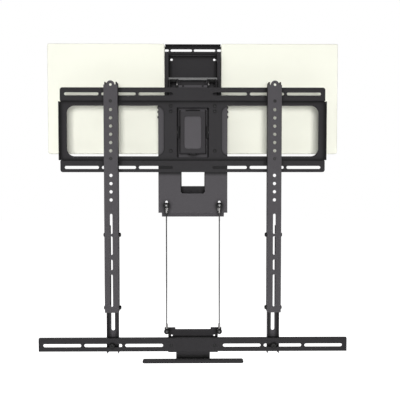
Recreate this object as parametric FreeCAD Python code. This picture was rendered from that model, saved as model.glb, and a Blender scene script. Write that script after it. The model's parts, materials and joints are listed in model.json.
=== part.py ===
"""Pull-down wall mount for a television, folded up against the wall.

Millimetres. X runs to the right, Y into the wall, Z up. The origin is the
middle of the wall plate's back face, so the wall is the plane y = 0 and the
room lies at negative y. Every pair of pieces is made for the right-hand side
and mirrored to the left.
"""
import FreeCAD, Part
import math
import os

os.makedirs("parts", exist_ok=True)
Vector = FreeCAD.Vector

# Clearances
RUNNING = 0.05            # radial, a pin in a bore
SEAT = 0.03               # radial, a bush or rivet in its seat
SIDE_GAP = 0.3            # between plates that turn past each other
THRUST_GAP = 0.1          # between a pin's head or a bush and the plate it turns against
FIT_GAP = 0.2             # between pieces that are bolted together
PAST = 1.0                # how far a cutter runs past the face it cuts

# Wall plate
SHEET = 2.5
PLATE_HALF_W = 372.0
PLATE_TOP = 138.0
PLATE_BOTTOM = -140.0
TONGUE_HALF_W = 73.5
TONGUE_TOP = 142.0
TONGUE_BOTTOM = -311.0
TONGUE_LIP = 12.0
WALL_SLOT_LEN = 57.5
WALL_SLOT_W = 6.4
WALL_SLOT_PITCH = 62.0
WALL_SLOT_Z = 127.7
WALL_SLOT_COUNT = 5       # to each side of the middle
LOW_SLOT_FIRST = 3        # the lower row starts at the third slot out from the middle
WINDOW_HALF_W = 31.7
WINDOW_TOP = -150.0
WINDOW_BOTTOM = -234.0
LEVEL_HOLE_R = 3.5
LEVEL_HOLE_X = 57.0
LEVEL_HOLE_Z = 103.0

# Channel that holds the arms
CHANNEL_TOP = 113.7
CHEEK_IN = 63.0
CHEEK_DEPTH = 47.0
CHEEK_FLANGE = 6.5
FLANGE_END = -258.0
CHANNEL_LIP = 6.0
RIVET_R = 3.0
RIVET_HEAD_R = 5.0
RIVET_HEAD = 2.5
RIVET_X = 45.0
RIVET_Z = (20.0, -60.0, -225.0)

# Covers
COVER_IN = 74.5
COVER_OUT = 383.0
COVER_TOP = 141.3
COVER_BOTTOM = -147.9
COVER_DEPTH = 22.0
COVER_WALL = 2.0
COVER_CORNER = 4.0
COVER_EDGE = 2.6          # rounding round a cover's front
BOSS_R = 5.0
BOSS_X = (110.0, 228.0, 346.0)
BOSS_Z = (100.0, -100.0)

# Lift linkage: pivots as depth from the wall and height
PIVOT_DEPTH = 28.0
PIVOT_Z = -262.0
ARM_LENGTH = 292.0
ARM_LEAN = 5.5            # degrees forward of upright at rest
LINK_DROP = 35.0          # the link's pivots lie this far below the arm's
ARM_IN = 37.2
ARM_WIDTH = 23.6
ARM_WALL = 2.5
ARM_HALF_DEPTH = 17.0
ARM_TOP_R = 14.0
ARM_TAPER = 20.0
ARM_WEB_START = 50.0
BRACE_LOW = 90.0
BRACE_HIGH = 130.0
BRACE_HOLE_R = 5.0
BUSH_WALL = 1.5
PIVOT_PIN_R = 5.0
PIN_HEAD_R = 8.0
PIN_HEAD = 1.8
NUT_HEAD = 3.5
LUG_THICK = 2.4
LUG_FOOT = 12.3
LUG_DEPTH = 45.0
LUG_BEVEL = 10.0
LUG_TOP = -245.0
LUG_FOOT_TOP = -265.0
LINK_THICK = 4.0
LINK_HALF_W = 11.0
LINK_PIN_R = 4.0
LINK_HEAD_R = 7.0
LINK_HEAD = 2.5

# Gas struts, inside the arms
STRUT_X = 49.0
STRUT_ARM = 26.0          # lever from the lower pivot to the strut's eye
STRUT_ANGLE = 15.0
STRUT_R = 7.0
STRUT_WALL = 1.5
STRUT_START = 70.0
STRUT_GLAND = 8.0
STRUT_PIN_DROP = 47.0     # the strut's upper pin lies this far below the arm's upper pivot
STRUT_NECK = 10.0
TOP_PIN_HEAD_R = 6.0
TOP_PIN_HEAD = 1.6
ROD_R = 3.5
ROD_END = 150.0
PISTON_LEN = 10.0
EYE_R = 7.0
EYE_THICK = 6.0
EYE_PIN_R = 4.0
ANCHOR_THICK = 3.5
ANCHOR_R = 9.0
ANCHOR_FOOT = 12.0

# Stop bar, and the rubber buffers in the arms' ends
STOP_DEPTH = 42.0
STOP_THICK = 3.0
STOP_HEIGHT = 6.2
BUFFER_R = 4.5
BUFFER_AT = 13.618        # from the arm's upper pivot to the middle of its buffer
BUFFER_GAP = 0.3          # from a buffer to the bar at rest

# Head column
HEAD_WEB_DEPTH = 78.0
HEAD_TOP = 23.5
HEAD_BOTTOM = -165.0
EAR_R = 12.0
CHEEK_MID_Z = -40.0
CHEEK_LOW_DEPTH = 62.0
NOTCH_X = 22.5
NOTCH_W = 5.0
NOTCH_DEEP = 5.0

# Swivel
SWIVEL_DEPTH = 88.0
SWIVEL_PIN_R = 5.0
SWIVEL_PIN_HEAD_R = 7.0
SWIVEL_PIN_HEAD = 3.0
BARREL_R = 9.5
LUG_TOP_Z = -47.0
LUG_LOW_Z = -149.0
SWIVEL_LUG = 6.0
SWIVEL_LUG_HALF_W = 12.0
WASHER = 0.8
WASHER_INSET = 1.0        # radial, from the barrel's edge
BLOCK_HALF_W = 23.0
BLOCK_FRONT = 105.0
WING_FRONT = 103.0
WING_REAR = 89.0
WING_HALF_H = 14.5
TILT_DEPTH = 98.5
TILT_Z = -97.5
TILT_PIN_R = 4.0
TILT_HEAD_R = 7.0
TILT_HEAD = 3.0

# Moulded cover of the swivel
SWIVEL_COVER_HALF_W = 33.7
SWIVEL_COVER_TOP = -42.8
SWIVEL_COVER_BOTTOM = -152.3
SWIVEL_COVER_FRONT = 109.0
SWIVEL_COVER_WALL = 2.0
SWIVEL_COVER_SIDE = 1.6
SWIVEL_BOSS_R = 4.0
COVER_NOTCH_IN = 18.0
COVER_NOTCH_OUT = 30.5
COVER_NOTCH_DEEP = 4.2
COVER_SLOPE = 3.0         # the front's sloping border
PAD_HALF_W = 21.5
PAD_TOP = -58.7
PAD_BOTTOM = -139.7
PAD_THICK = 1.8
PAD_CORNER = 5.0

# Frame that the television's rails hang on
PANEL_DEPTH = 112.5
FRAME_HALF_W = 328.0
PANEL_END = 4.0           # the panel reaches this far past the rails' ends
PANEL_FLANGE = 6.5
PANEL_FLANGE_INSET = 1.6
RAIL_FACE = 118.0
TOP_RAIL_TOP = 11.0
TOP_RAIL_BOTTOM = -21.4
LOW_RAIL_TOP = -169.5
LOW_RAIL_BOTTOM = -197.8
RAIL_CORNER = 6.0
FRAME_WIN_IN = 70.3
FRAME_WIN_MARGIN = 15.3   # from a window to the rails' ends
FRAME_WIN_TOP = -32.9
FRAME_WIN_BOTTOM = -158.2
FRAME_WIN_R = 19.0
RAIL_SLOT_LEN = 85.0
RAIL_SLOT_PITCH = 91.7
RAIL_SLOT_W = 7.4
RAIL_SLOT_COUNT = 3       # to each side of the middle
TOP_SLOT_Z = -4.7
LOW_SLOT_Z = -186.1
POCKET_HALF_W = 39.8
POCKET_TOP = -37.5
POCKET_BOTTOM = -161.3
POCKET_CORNER = 3.0
FRAME_SCREW_X = 54.6
FRAME_SCREW_Z = (-33.8, -47.0, -145.0)
SMALL_HEAD_R = 3.5
SMALL_PIN_R = 2.0
SMALL_HEAD = 2.0

# Plate that carries the frame and the cables
TV_PLATE_HALF_W = 86.2
TV_PLATE_TOP = -22.0
TV_PLATE_BOTTOM = -299.3
TV_PLATE_SIDE = 12.5
TV_LIP_HALF_W = 77.8
TV_LIP_DROP = 10.0
TV_LIP_BACK = 6.0
TV_WIN_HALF_W = 30.3
TV_WIN_TOP = -190.0
TV_WIN_BOTTOM = -251.0
TV_WIN_R = 6.0
TILT_EAR_THICK = 3.0
TILT_EAR_DEPTH = 90.0
CABLE_X = 66.0
CABLE_SLOT_W = 6.3
CABLE_SLOT_TOP = -269.0
CABLE_SLOT_BOTTOM = -297.0
SIDE_SCREW_Z = (-36.0, -47.0, -60.0)
SIDE_SCREW_DEPTH = 101.0
SIDE_SCREW_TAIL = 2.0
SIDE_SCREW_HEAD = 2.4

# Television rails
RAIL_X = 200.0
TV_RAIL_HALF_W = 17.0
RAIL_SHEET = 1.8
TV_RAIL_DEPTH = 140.0
TV_RAIL_TOP = 14.4
TV_RAIL_BOTTOM = -544.4
TV_RAIL_EAR_R = 10.0
TV_RAIL_EAR_HOLE_R = 3.2
TV_HOLE_R = 4.0
TV_HOLE_STEP = 20.0
TV_HOLE_HIGH = -66.0
TV_HOLE_LOW = -266.0
TV_RAIL_SLOT_W = 6.3
TV_RAIL_SLOTS = ((-300.0, -349.5), (-355.4, -401.2), (-413.0, -438.4), (-449.8, -529.5))
LOCK_HOLE_Z = (-25.2, -165.0)
LOCK_HEAD_R = 3.8
LOCK_PIN_R = 3.0
LOCK_RECESS = 0.8
HOOK_THICK = 3.0
HOOK_BODY = 30.0
HOOK_DROP = 14.0
HOOK_ARM = 10.0
HOOK_BEVEL = 3.0

# Extensions, crossbar, hanger and handle
EXT_SHEET = 1.6
EXT_TOP = -330.0
EXT_BOTTOM = -650.0
EXT_FACE = 127.5
EXT_SLOT_W = 8.5
EXT_SLOT_BOTTOM = -594.0
EXT_FOOT = 2.0
EXT_NOTCH = 2.0
SIDE_BOLT_Z = (-353.0, -535.0)
SIDE_BOLT_DEPTH = 123.0
SIDE_HEAD = 4.5
BOLT_HEAD_R = 5.5
BOLT_PIN_R = 3.0
BOLT_HEAD = 3.6
BAR_HALF_W = 381.6
BAR_TOP = -608.8
BAR_BOTTOM = -641.6
BAR_DEEP = 10.0
BAR_SLOT_W = 8.3
BAR_SLOT_LEN = 93.85
BAR_SLOT_PITCH = 101.13
BAR_SLOT_FIRST = 121.02
BAR_SLOT_Z = -626.8
BAR_SLOT_COUNT = 3
WASHER_R = 7.0
BAR_WASHER = 1.2
BAR_HEAD_R = 6.5
BAR_NUT_R = 8.0
HANGER_FRONT = 106.4
HANGER_HALF_W = 62.8
HANGER_TOP = -594.6
HANGER_BOTTOM = -653.5
TAB_IN = 44.5
TAB_OUT = 72.0
TAB_TOP = -590.0
TAB_BOTTOM = -606.0
NECK_HALF_W = 42.8
HANGER_HOLE_X = 53.6
HANGER_HOLE_Z = -610.5
HANGER_HOLE_R = 2.2
HANGER_BOLT_X = 53.6
LOW_HEAD = 1.0
FOOT_FRONT = 118.0
HANDLE_HALF_W = 127.0
HANDLE_TOP = -669.5
HANDLE_HIGH = 8.5
HANDLE_FRONT = 119.0
HANDLE_BACK = 107.0
HANDLE_SCREW_X = 30.0
HANDLE_SCREW_DEPTH = 113.0
HANDLE_SCREW_LEN = 6.0
HANDLE_SCREW_TIP = 1.0    # the bore runs this far past the screw

# Cables
CABLE_R = 1.6
CABLE_DEPTH = 114.75
CABLE_TOP_Z = -280.5
CABLE_LOW_Z = -597.8
CABLE_EYE_R = 6.5
CABLE_EYE_THICK = 2.5
CABLE_PIN_R = 3.0
CABLE_HEAD_R = 7.0
CABLE_HEAD = 4.0
FERRULE_R = 2.8
FERRULE_LEN = 12.0
SPACER_R = 6.0

# Places that follow from the sizes above
WEB_FACE = 2 * SHEET                                  # front of the channel's web
CHEEK_OUT = CHEEK_IN + SHEET
ARM_OUT = ARM_IN + ARM_WIDTH
LUG_OUT = ARM_IN - SIDE_GAP - FIT_GAP
LUG_IN = LUG_OUT - LUG_THICK
LINK_OUT = LUG_IN - SIDE_GAP
LINK_IN = LINK_OUT - LINK_THICK
LEAN = math.radians(ARM_LEAN)
ARM_PIVOT = (-PIVOT_DEPTH, PIVOT_Z)
HEAD_PIVOT = (-PIVOT_DEPTH - ARM_LENGTH * math.sin(LEAN), PIVOT_Z + ARM_LENGTH * math.cos(LEAN))
LINK_PIVOT = (ARM_PIVOT[0], ARM_PIVOT[1] - LINK_DROP)
HEAD_LINK_PIVOT = (HEAD_PIVOT[0], HEAD_PIVOT[1] - LINK_DROP)
STOP_CORNER = math.hypot(STOP_THICK, STOP_HEIGHT) / 2
STOP_REACH = BUFFER_AT + BUFFER_R + BUFFER_GAP + STOP_CORNER    # from the arm's upper pivot to the bar
STOP_Z = HEAD_PIVOT[1] + math.sqrt(STOP_REACH ** 2 - (HEAD_PIVOT[0] + STOP_DEPTH) ** 2)
BUFFER_SHARE = BUFFER_AT / STOP_REACH                 # of the way from the arm's pivot to the bar
BUFFER_PLACE = (HEAD_PIVOT[0] - BUFFER_SHARE * (STOP_DEPTH + HEAD_PIVOT[0]),
                HEAD_PIVOT[1] + BUFFER_SHARE * (STOP_Z - HEAD_PIVOT[1]))
STRUT_PIN_AT = ARM_LENGTH - STRUT_PIN_DROP
STRUT_END = STRUT_PIN_AT - STRUT_NECK
EYE_ALONG = -STRUT_ARM * math.cos(math.radians(STRUT_ANGLE))
STRUT_OFF = STRUT_ARM * math.sin(math.radians(STRUT_ANGLE))
PANEL_BACK = PANEL_DEPTH - SHEET
PANEL_HALF_W = FRAME_HALF_W + PANEL_END
FRAME_WIN_OUT = FRAME_HALF_W - FRAME_WIN_MARGIN
TV_PLATE_BACK = PANEL_BACK - SHEET
RAIL_BACK = PANEL_BACK
EXT_BACK = RAIL_FACE - EXT_SHEET
EXT_OUTER = TV_RAIL_HALF_W - RAIL_SHEET - FIT_GAP
EXT_INNER = EXT_OUTER - EXT_SHEET
BAR_BACK = EXT_FACE
BAR_FRONT = BAR_BACK + BAR_DEEP
HANGER_BACK = HANGER_FRONT - SHEET
WING_HALF_W = POCKET_HALF_W - 0.5
FERRULE_START = CABLE_HEAD_R + FIT_GAP                # from the middle of a cable's eye
FERRULE_END = FERRULE_START + FERRULE_LEN
CABLE_EYE_FRONT = CABLE_DEPTH + CABLE_EYE_THICK / 2
CABLE_EYE_BACK = CABLE_DEPTH - CABLE_EYE_THICK / 2


def block(x, depth, z):
    """A box: x and z as low and high, depth as nearest and farthest from the wall."""
    return Part.makeBox(x[1] - x[0], depth[1] - depth[0], z[1] - z[0], Vector(x[0], -depth[1], z[0]))


def rod_x(radius, x, y, z):
    """A cylinder along X between the two values of x."""
    return Part.makeCylinder(radius, x[1] - x[0], Vector(x[0], y, z), Vector(1, 0, 0))


def rod_y(radius, depth, x, z):
    """A cylinder square to the wall between two depths."""
    return Part.makeCylinder(radius, depth[1] - depth[0], Vector(x, -depth[1], z), Vector(0, 1, 0))


def rod_z(radius, z, x, y):
    """An upright cylinder between the two values of z."""
    return Part.makeCylinder(radius, z[1] - z[0], Vector(x, y, z[0]), Vector(0, 0, 1))


def slot_along_x(length, width, x, z, depth):
    """A round-ended slot's cutter, lying along X."""
    half = (length - width) / 2
    middle = block((x - half, x + half), depth, (z - width / 2, z + width / 2))
    ends = [rod_y(width / 2, depth, x + side * half, z) for side in (-1, 1)]
    return middle.fuse(ends)


def slot_along_z(low, high, width, x, depth):
    """A round-ended slot's cutter, standing along Z."""
    middle = block((x - width / 2, x + width / 2), depth, (low + width / 2, high - width / 2))
    ends = [rod_y(width / 2, depth, x, z) for z in (low + width / 2, high - width / 2)]
    return middle.fuse(ends)


def soft_block(x, depth, z, radius):
    """A box whose four edges along Y are rounded."""
    shape = block(x, depth, z)
    edges = [e for e in shape.Edges if abs(e.tangentAt(e.FirstParameter).y) > 0.99]
    return shape.makeFillet(radius, edges)


def side_plate(points, x):
    """A flat plate with an outline of (y, z) points, standing square to X."""
    corners = [Vector(x[0], y, z) for y, z in points]
    return Part.Face(Part.makePolygon(corners + corners[:1])).extrude(Vector(x[1] - x[0], 0, 0))


def front_plate(points, depth):
    """A flat plate with an outline of (x, z) points, lying parallel to the wall."""
    corners = [Vector(x, -depth[1], z) for x, z in points]
    return Part.Face(Part.makePolygon(corners + corners[:1])).extrude(Vector(0, depth[1] - depth[0], 0))


def mirrored(shape):
    """The left-hand twin of a right-hand shape."""
    return shape.mirror(Vector(0, 0, 0), Vector(1, 0, 0))


def pair(shapes):
    """Right-hand shapes and their left-hand twins."""
    return list(shapes) + [mirrored(shape) for shape in shapes]


def on_arm(shape):
    """Lean and place a shape drawn with the arm upright and its lower pivot at the origin."""
    shape.rotate(Vector(0, 0, 0), Vector(1, 0, 0), ARM_LEAN)
    shape.translate(Vector(0, ARM_PIVOT[0], ARM_PIVOT[1]))
    return shape


def save(name, shapes):
    """Write one sub-part, with each of its pieces as a separate solid."""
    solids = [solid for shape in shapes for solid in shape.removeSplitter().Solids]
    result = solids[0] if len(solids) == 1 else Part.makeCompound(solids)
    result.exportStep("parts/" + name + ".step")
    print(name, len(solids), round(sum(solid.Volume for solid in solids)))


def wall_plate():
    """The sheet that is bolted to the wall, with a tongue down its middle."""
    wide = block((-PLATE_HALF_W, PLATE_HALF_W), (0, SHEET), (PLATE_BOTTOM, PLATE_TOP))
    tongue = block((-TONGUE_HALF_W, TONGUE_HALF_W), (0, SHEET), (FLANGE_END, TONGUE_TOP))
    foot = block((-CHEEK_OUT, CHEEK_OUT), (0, SHEET), (TONGUE_BOTTOM, FLANGE_END))
    lip = block((-TONGUE_HALF_W, TONGUE_HALF_W), (0, TONGUE_LIP), (TONGUE_TOP - SHEET, TONGUE_TOP))
    plate = wide.fuse([tongue, foot, lip])
    through = (-PAST, SHEET + PAST)
    cuts = [block((-WINDOW_HALF_W, WINDOW_HALF_W), through, (WINDOW_BOTTOM, WINDOW_TOP))]
    for index in range(WALL_SLOT_COUNT):
        x = (index + 0.5) * WALL_SLOT_PITCH
        cuts += pair([slot_along_x(WALL_SLOT_LEN, WALL_SLOT_W, x, WALL_SLOT_Z, through)])
        if index + 1 >= LOW_SLOT_FIRST:
            cuts += pair([slot_along_x(WALL_SLOT_LEN, WALL_SLOT_W, x, -WALL_SLOT_Z, through)])
    cuts += pair([rod_y(LEVEL_HOLE_R, through, LEVEL_HOLE_X, LEVEL_HOLE_Z)])
    cuts += pair([rod_y(RIVET_R + SEAT, through, RIVET_X, z) for z in RIVET_Z])
    return [plate.cut(cuts)]


def centre_channel():
    """The channel on the plate's tongue that the arms fold into."""
    height = (TONGUE_BOTTOM, CHANNEL_TOP)
    web = block((-CHEEK_OUT, CHEEK_OUT), (SHEET, WEB_FACE), height)
    lip = block((-CHEEK_IN, CHEEK_IN), (WEB_FACE, WEB_FACE + CHANNEL_LIP), (CHANNEL_TOP - SHEET, CHANNEL_TOP))
    cheek = block((CHEEK_IN, CHEEK_OUT), (WEB_FACE, CHEEK_DEPTH), height)
    flange = block((CHEEK_OUT, CHEEK_OUT + CHEEK_FLANGE), (CHEEK_DEPTH - SHEET, CHEEK_DEPTH),
                   (FLANGE_END, CHANNEL_TOP))
    shape = web.fuse([lip] + pair([cheek, flange]))
    through = (SHEET - PAST, WEB_FACE + PAST)
    cuts = [block((-WINDOW_HALF_W, WINDOW_HALF_W), through, (WINDOW_BOTTOM, WINDOW_TOP))]
    cuts += pair([rod_y(LEVEL_HOLE_R, through, LEVEL_HOLE_X, LEVEL_HOLE_Z)])
    cuts += pair([rod_y(RIVET_R + SEAT, through, RIVET_X, z) for z in RIVET_Z])
    cheek_hole = rod_x(PIVOT_PIN_R + RUNNING, (CHEEK_IN - PAST, CHEEK_OUT + PAST), *ARM_PIVOT)
    bar_hole = stop_section((CHEEK_IN - PAST, CHEEK_OUT + PAST), RUNNING)
    return [shape.cut(cuts + pair([cheek_hole, bar_hole]))]


def channel_rivets():
    """Rivets that hold the channel to the plate."""
    rivets = []
    for z in RIVET_Z:
        shank = rod_y(RIVET_R, (0, WEB_FACE), RIVET_X, z)
        head = rod_y(RIVET_HEAD_R, (WEB_FACE, WEB_FACE + RIVET_HEAD), RIVET_X, z)
        rivets.append(shank.fuse(head))
    return pair(rivets)


def wall_cover():
    """One cover: a shallow tray, open to the wall, over one wing of the plate."""
    x = (COVER_IN, COVER_OUT)
    z = (COVER_BOTTOM, COVER_TOP)
    tray = soft_block(x, (0, COVER_DEPTH), z, COVER_CORNER)
    front = [e for e in tray.Edges if abs(e.CenterOfMass.y + COVER_DEPTH) < SEAT]
    tray = tray.makeFillet(COVER_EDGE, front)
    hollow = block((x[0] + COVER_WALL, x[1] - COVER_WALL), (-PAST, COVER_DEPTH - COVER_WALL),
                   (z[0] + COVER_WALL, z[1] - COVER_WALL))
    over_plate = block((x[0] - PAST, x[0] + COVER_WALL + PAST), (-PAST, SHEET),
                       (PLATE_BOTTOM - FIT_GAP, PLATE_TOP + FIT_GAP))
    tray = tray.cut([hollow, over_plate])
    bosses = [rod_y(BOSS_R, (SHEET, COVER_DEPTH - COVER_WALL), bx, bz) for bx in BOSS_X for bz in BOSS_Z]
    return tray.fuse(bosses)


def pivot_lug_plates():
    """Brackets between the arm and the link, with the wall-side pivots of both."""
    outline = [(-WEB_FACE, TONGUE_BOTTOM), (-LUG_DEPTH, TONGUE_BOTTOM), (-LUG_DEPTH, LUG_TOP - LUG_BEVEL),
               (-LUG_DEPTH + LUG_BEVEL, LUG_TOP), (-WEB_FACE, LUG_TOP)]
    lug = side_plate(outline, (LUG_IN, LUG_OUT))
    foot = block((LUG_IN - LUG_FOOT, LUG_IN), (WEB_FACE, WEB_FACE + SHEET), (TONGUE_BOTTOM, LUG_FOOT_TOP))
    arm_hole = rod_x(PIVOT_PIN_R + RUNNING, (LUG_IN - PAST, LUG_OUT + PAST), *ARM_PIVOT)
    link_hole = rod_x(LINK_PIN_R + RUNNING, (LUG_IN - PAST, LUG_OUT + PAST), *LINK_PIVOT)
    return pair([lug.fuse(foot).cut([arm_hole, link_hole])])


def arm_point(along, front):
    """Depth and height of a point given along the resting arm and towards the room."""
    y = ARM_PIVOT[0] - along * math.sin(LEAN) - front * math.cos(LEAN)
    z = ARM_PIVOT[1] + along * math.cos(LEAN) - front * math.sin(LEAN)
    return y, z


def strut_anchor_lugs():
    """Brackets on the channel that the gas struts push against."""
    y, z = arm_point(EYE_ALONG, STRUT_OFF)
    x_in = STRUT_X + max(EYE_THICK / 2, ROD_R) + SIDE_GAP
    x = (x_in, x_in + ANCHOR_THICK)
    lug = rod_x(ANCHOR_R, x, y, z).fuse(block(x, (WEB_FACE, -y), (z - ANCHOR_R, z + ANCHOR_R)))
    foot = block((x_in - ANCHOR_FOOT, x_in), (WEB_FACE, WEB_FACE + SHEET), (z - ANCHOR_R, z + ANCHOR_R))
    return pair([lug.fuse(foot).cut(rod_x(EYE_PIN_R, (x[0] - PAST, x[1] + PAST), y, z))])


def stop_section(x, gap):
    """The flat bar's section between two values of x, grown by a gap all round."""
    deep, high = STOP_THICK / 2 + gap, STOP_HEIGHT / 2 + gap
    return block(x, (STOP_DEPTH - deep, STOP_DEPTH + deep), (STOP_Z - high, STOP_Z + high))


def stop_bar():
    """The flat bar that the arms' buffers rest against when folded up."""
    return [stop_section((-CHEEK_OUT, CHEEK_OUT), 0)]


def arm_buffers():
    """Rubber rods between the walls at the arms' upper ends, where the arms meet the stop bar."""
    return pair([rod_x(BUFFER_R, (ARM_IN + ARM_WALL, ARM_OUT - ARM_WALL), *BUFFER_PLACE)])


def pivot_pin(outer, inner, place):
    """A headed pin from an outer to an inner x, with its head towards the arm's inside."""
    shank = rod_x(PIVOT_PIN_R, (inner, outer), *place)
    return shank.fuse(rod_x(PIN_HEAD_R, (outer, outer + PIN_HEAD), *place))


def lug_pivot_bolts():
    """Pins that hinge the arms' inner walls on the wall brackets."""
    return pair([pivot_pin(ARM_IN + ARM_WALL + THRUST_GAP, LUG_IN, ARM_PIVOT)])


def cheek_pivot_bolts():
    """Bolts that hinge the arms' outer walls on the channel's cheeks."""
    shank = rod_x(PIVOT_PIN_R, (ARM_OUT - ARM_WALL - PAST, CHEEK_OUT), *ARM_PIVOT)
    return pair([shank.fuse(rod_x(PIN_HEAD_R, (CHEEK_OUT, CHEEK_OUT + NUT_HEAD), *ARM_PIVOT))])


def link_bolt(place):
    """A bolt through a link and the plate beside it, with its head on the inside."""
    shank = rod_x(LINK_PIN_R, (LINK_IN, LUG_OUT), *place)
    return shank.fuse(rod_x(LINK_HEAD_R, (LINK_IN - LINK_HEAD, LINK_IN), *place))


def lift_arm():
    """One arm: a channel open towards the wall, with round ends at its two pivots."""
    walls = []
    shoulder = ARM_LENGTH - ARM_TAPER
    for x in ((ARM_IN, ARM_IN + ARM_WALL), (ARM_OUT - ARM_WALL, ARM_OUT)):
        straight = block(x, (-ARM_HALF_DEPTH, ARM_HALF_DEPTH), (0, shoulder))
        taper = side_plate([(-ARM_HALF_DEPTH, shoulder), (ARM_HALF_DEPTH, shoulder),
                            (ARM_TOP_R, ARM_LENGTH), (-ARM_TOP_R, ARM_LENGTH)], x)
        ends = [rod_x(ARM_HALF_DEPTH, x, 0, 0), rod_x(ARM_TOP_R, x, 0, ARM_LENGTH)]
        walls.append(straight.fuse([taper] + ends))
    web = block((ARM_IN, ARM_OUT), (ARM_HALF_DEPTH - ARM_WALL, ARM_HALF_DEPTH), (ARM_WEB_START, shoulder))
    arm = walls[0].fuse([walls[1], web])
    bush_r = PIVOT_PIN_R + RUNNING + BUSH_WALL + SEAT
    inner = (ARM_IN - PAST, ARM_IN + ARM_WALL + PAST)
    outer = (ARM_OUT - ARM_WALL - PAST, ARM_OUT + PAST)
    cuts = [rod_x(bush_r, inner, 0, 0), rod_x(bush_r, outer, 0, 0), rod_x(bush_r, inner, 0, ARM_LENGTH)]
    cuts.append(rod_x(EYE_PIN_R + RUNNING, (ARM_IN - PAST, ARM_OUT + PAST), -STRUT_OFF, STRUT_PIN_AT))
    return on_arm(arm.cut(cuts))


def arm_brace():
    """The plate that ties the two arms together."""
    depth = (-ARM_HALF_DEPTH + 0.5, -ARM_HALF_DEPTH + 0.5 + SHEET)
    plate = block((-ARM_IN, ARM_IN), depth, (BRACE_LOW, BRACE_HIGH))
    middle = (BRACE_LOW + BRACE_HIGH) / 2
    holes = pair([rod_y(BRACE_HOLE_R, (depth[0] - PAST, depth[1] + PAST), ARM_IN / 2, middle)])
    return [on_arm(plate.cut(holes))]


def arm_bushings():
    """Bushes in the arms' pivot holes."""
    spans = (((LUG_OUT + THRUST_GAP, ARM_IN + ARM_WALL), 0), ((ARM_OUT - ARM_WALL, CHEEK_IN - FIT_GAP), 0),
             ((LUG_OUT + THRUST_GAP, ARM_IN + ARM_WALL), ARM_LENGTH))
    bushes = []
    for x, z in spans:
        bore = rod_x(PIVOT_PIN_R + RUNNING, (x[0] - PAST, x[1] + PAST), 0, z)
        bushes.append(on_arm(rod_x(PIVOT_PIN_R + RUNNING + BUSH_WALL, x, 0, z).cut(bore)))
    return pair(bushes)


def strut_eye(z):
    """The flat eye at one end of a strut, drawn on the upright arm."""
    x = (STRUT_X - EYE_THICK / 2, STRUT_X + EYE_THICK / 2)
    bore = rod_x(EYE_PIN_R + RUNNING, (x[0] - PAST, x[1] + PAST), -STRUT_OFF, z)
    return rod_x(EYE_R, x, -STRUT_OFF, z), bore


def strut_cylinder():
    """The gas strut's tube, pinned to the arm at its top."""
    place = (STRUT_X, -STRUT_OFF)
    tube = rod_z(STRUT_R, (STRUT_START, STRUT_END), *place)
    eye, bore = strut_eye(STRUT_PIN_AT)
    neck = rod_z(EYE_THICK / 2, (STRUT_END - PAST, STRUT_PIN_AT), *place)
    chamber = rod_z(STRUT_R - STRUT_WALL, (STRUT_START + STRUT_GLAND, STRUT_END - STRUT_GLAND), *place)
    mouth = rod_z(ROD_R + RUNNING, (STRUT_START - PAST, STRUT_START + STRUT_GLAND + PAST), *place)
    return on_arm(tube.fuse([eye, neck]).cut([chamber, mouth, bore]))


def strut_rod():
    """The gas strut's rod with its piston and lower eye."""
    place = (STRUT_X, -STRUT_OFF)
    rod = rod_z(ROD_R, (EYE_ALONG, ROD_END), *place)
    piston = rod_z(STRUT_R - STRUT_WALL - RUNNING, (ROD_END - PISTON_LEN, ROD_END), *place)
    eye, bore = strut_eye(EYE_ALONG)
    return on_arm(rod.fuse([piston, eye]).cut(bore))


def strut_top_pins():
    """Pins through the arms and the struts' upper eyes."""
    place = (-STRUT_OFF, STRUT_PIN_AT)
    pin = rod_x(EYE_PIN_R, (ARM_IN, ARM_OUT), *place)
    head = rod_x(TOP_PIN_HEAD_R, (ARM_OUT, ARM_OUT + TOP_PIN_HEAD), *place)
    return pair([on_arm(pin.fuse(head))])


def link_bar():
    """One link: a flat bar that keeps the head upright as the arms swing."""
    x = (LINK_IN, LINK_OUT)
    bar = block(x, (-LINK_HALF_W, LINK_HALF_W), (0, ARM_LENGTH))
    bar = bar.fuse([rod_x(LINK_HALF_W, x, 0, z) for z in (0, ARM_LENGTH)])
    bar = bar.cut([rod_x(LINK_PIN_R + RUNNING, (x[0] - PAST, x[1] + PAST), 0, z) for z in (0, ARM_LENGTH)])
    bar = on_arm(bar)
    bar.translate(Vector(0, 0, -LINK_DROP))
    return bar


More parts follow.
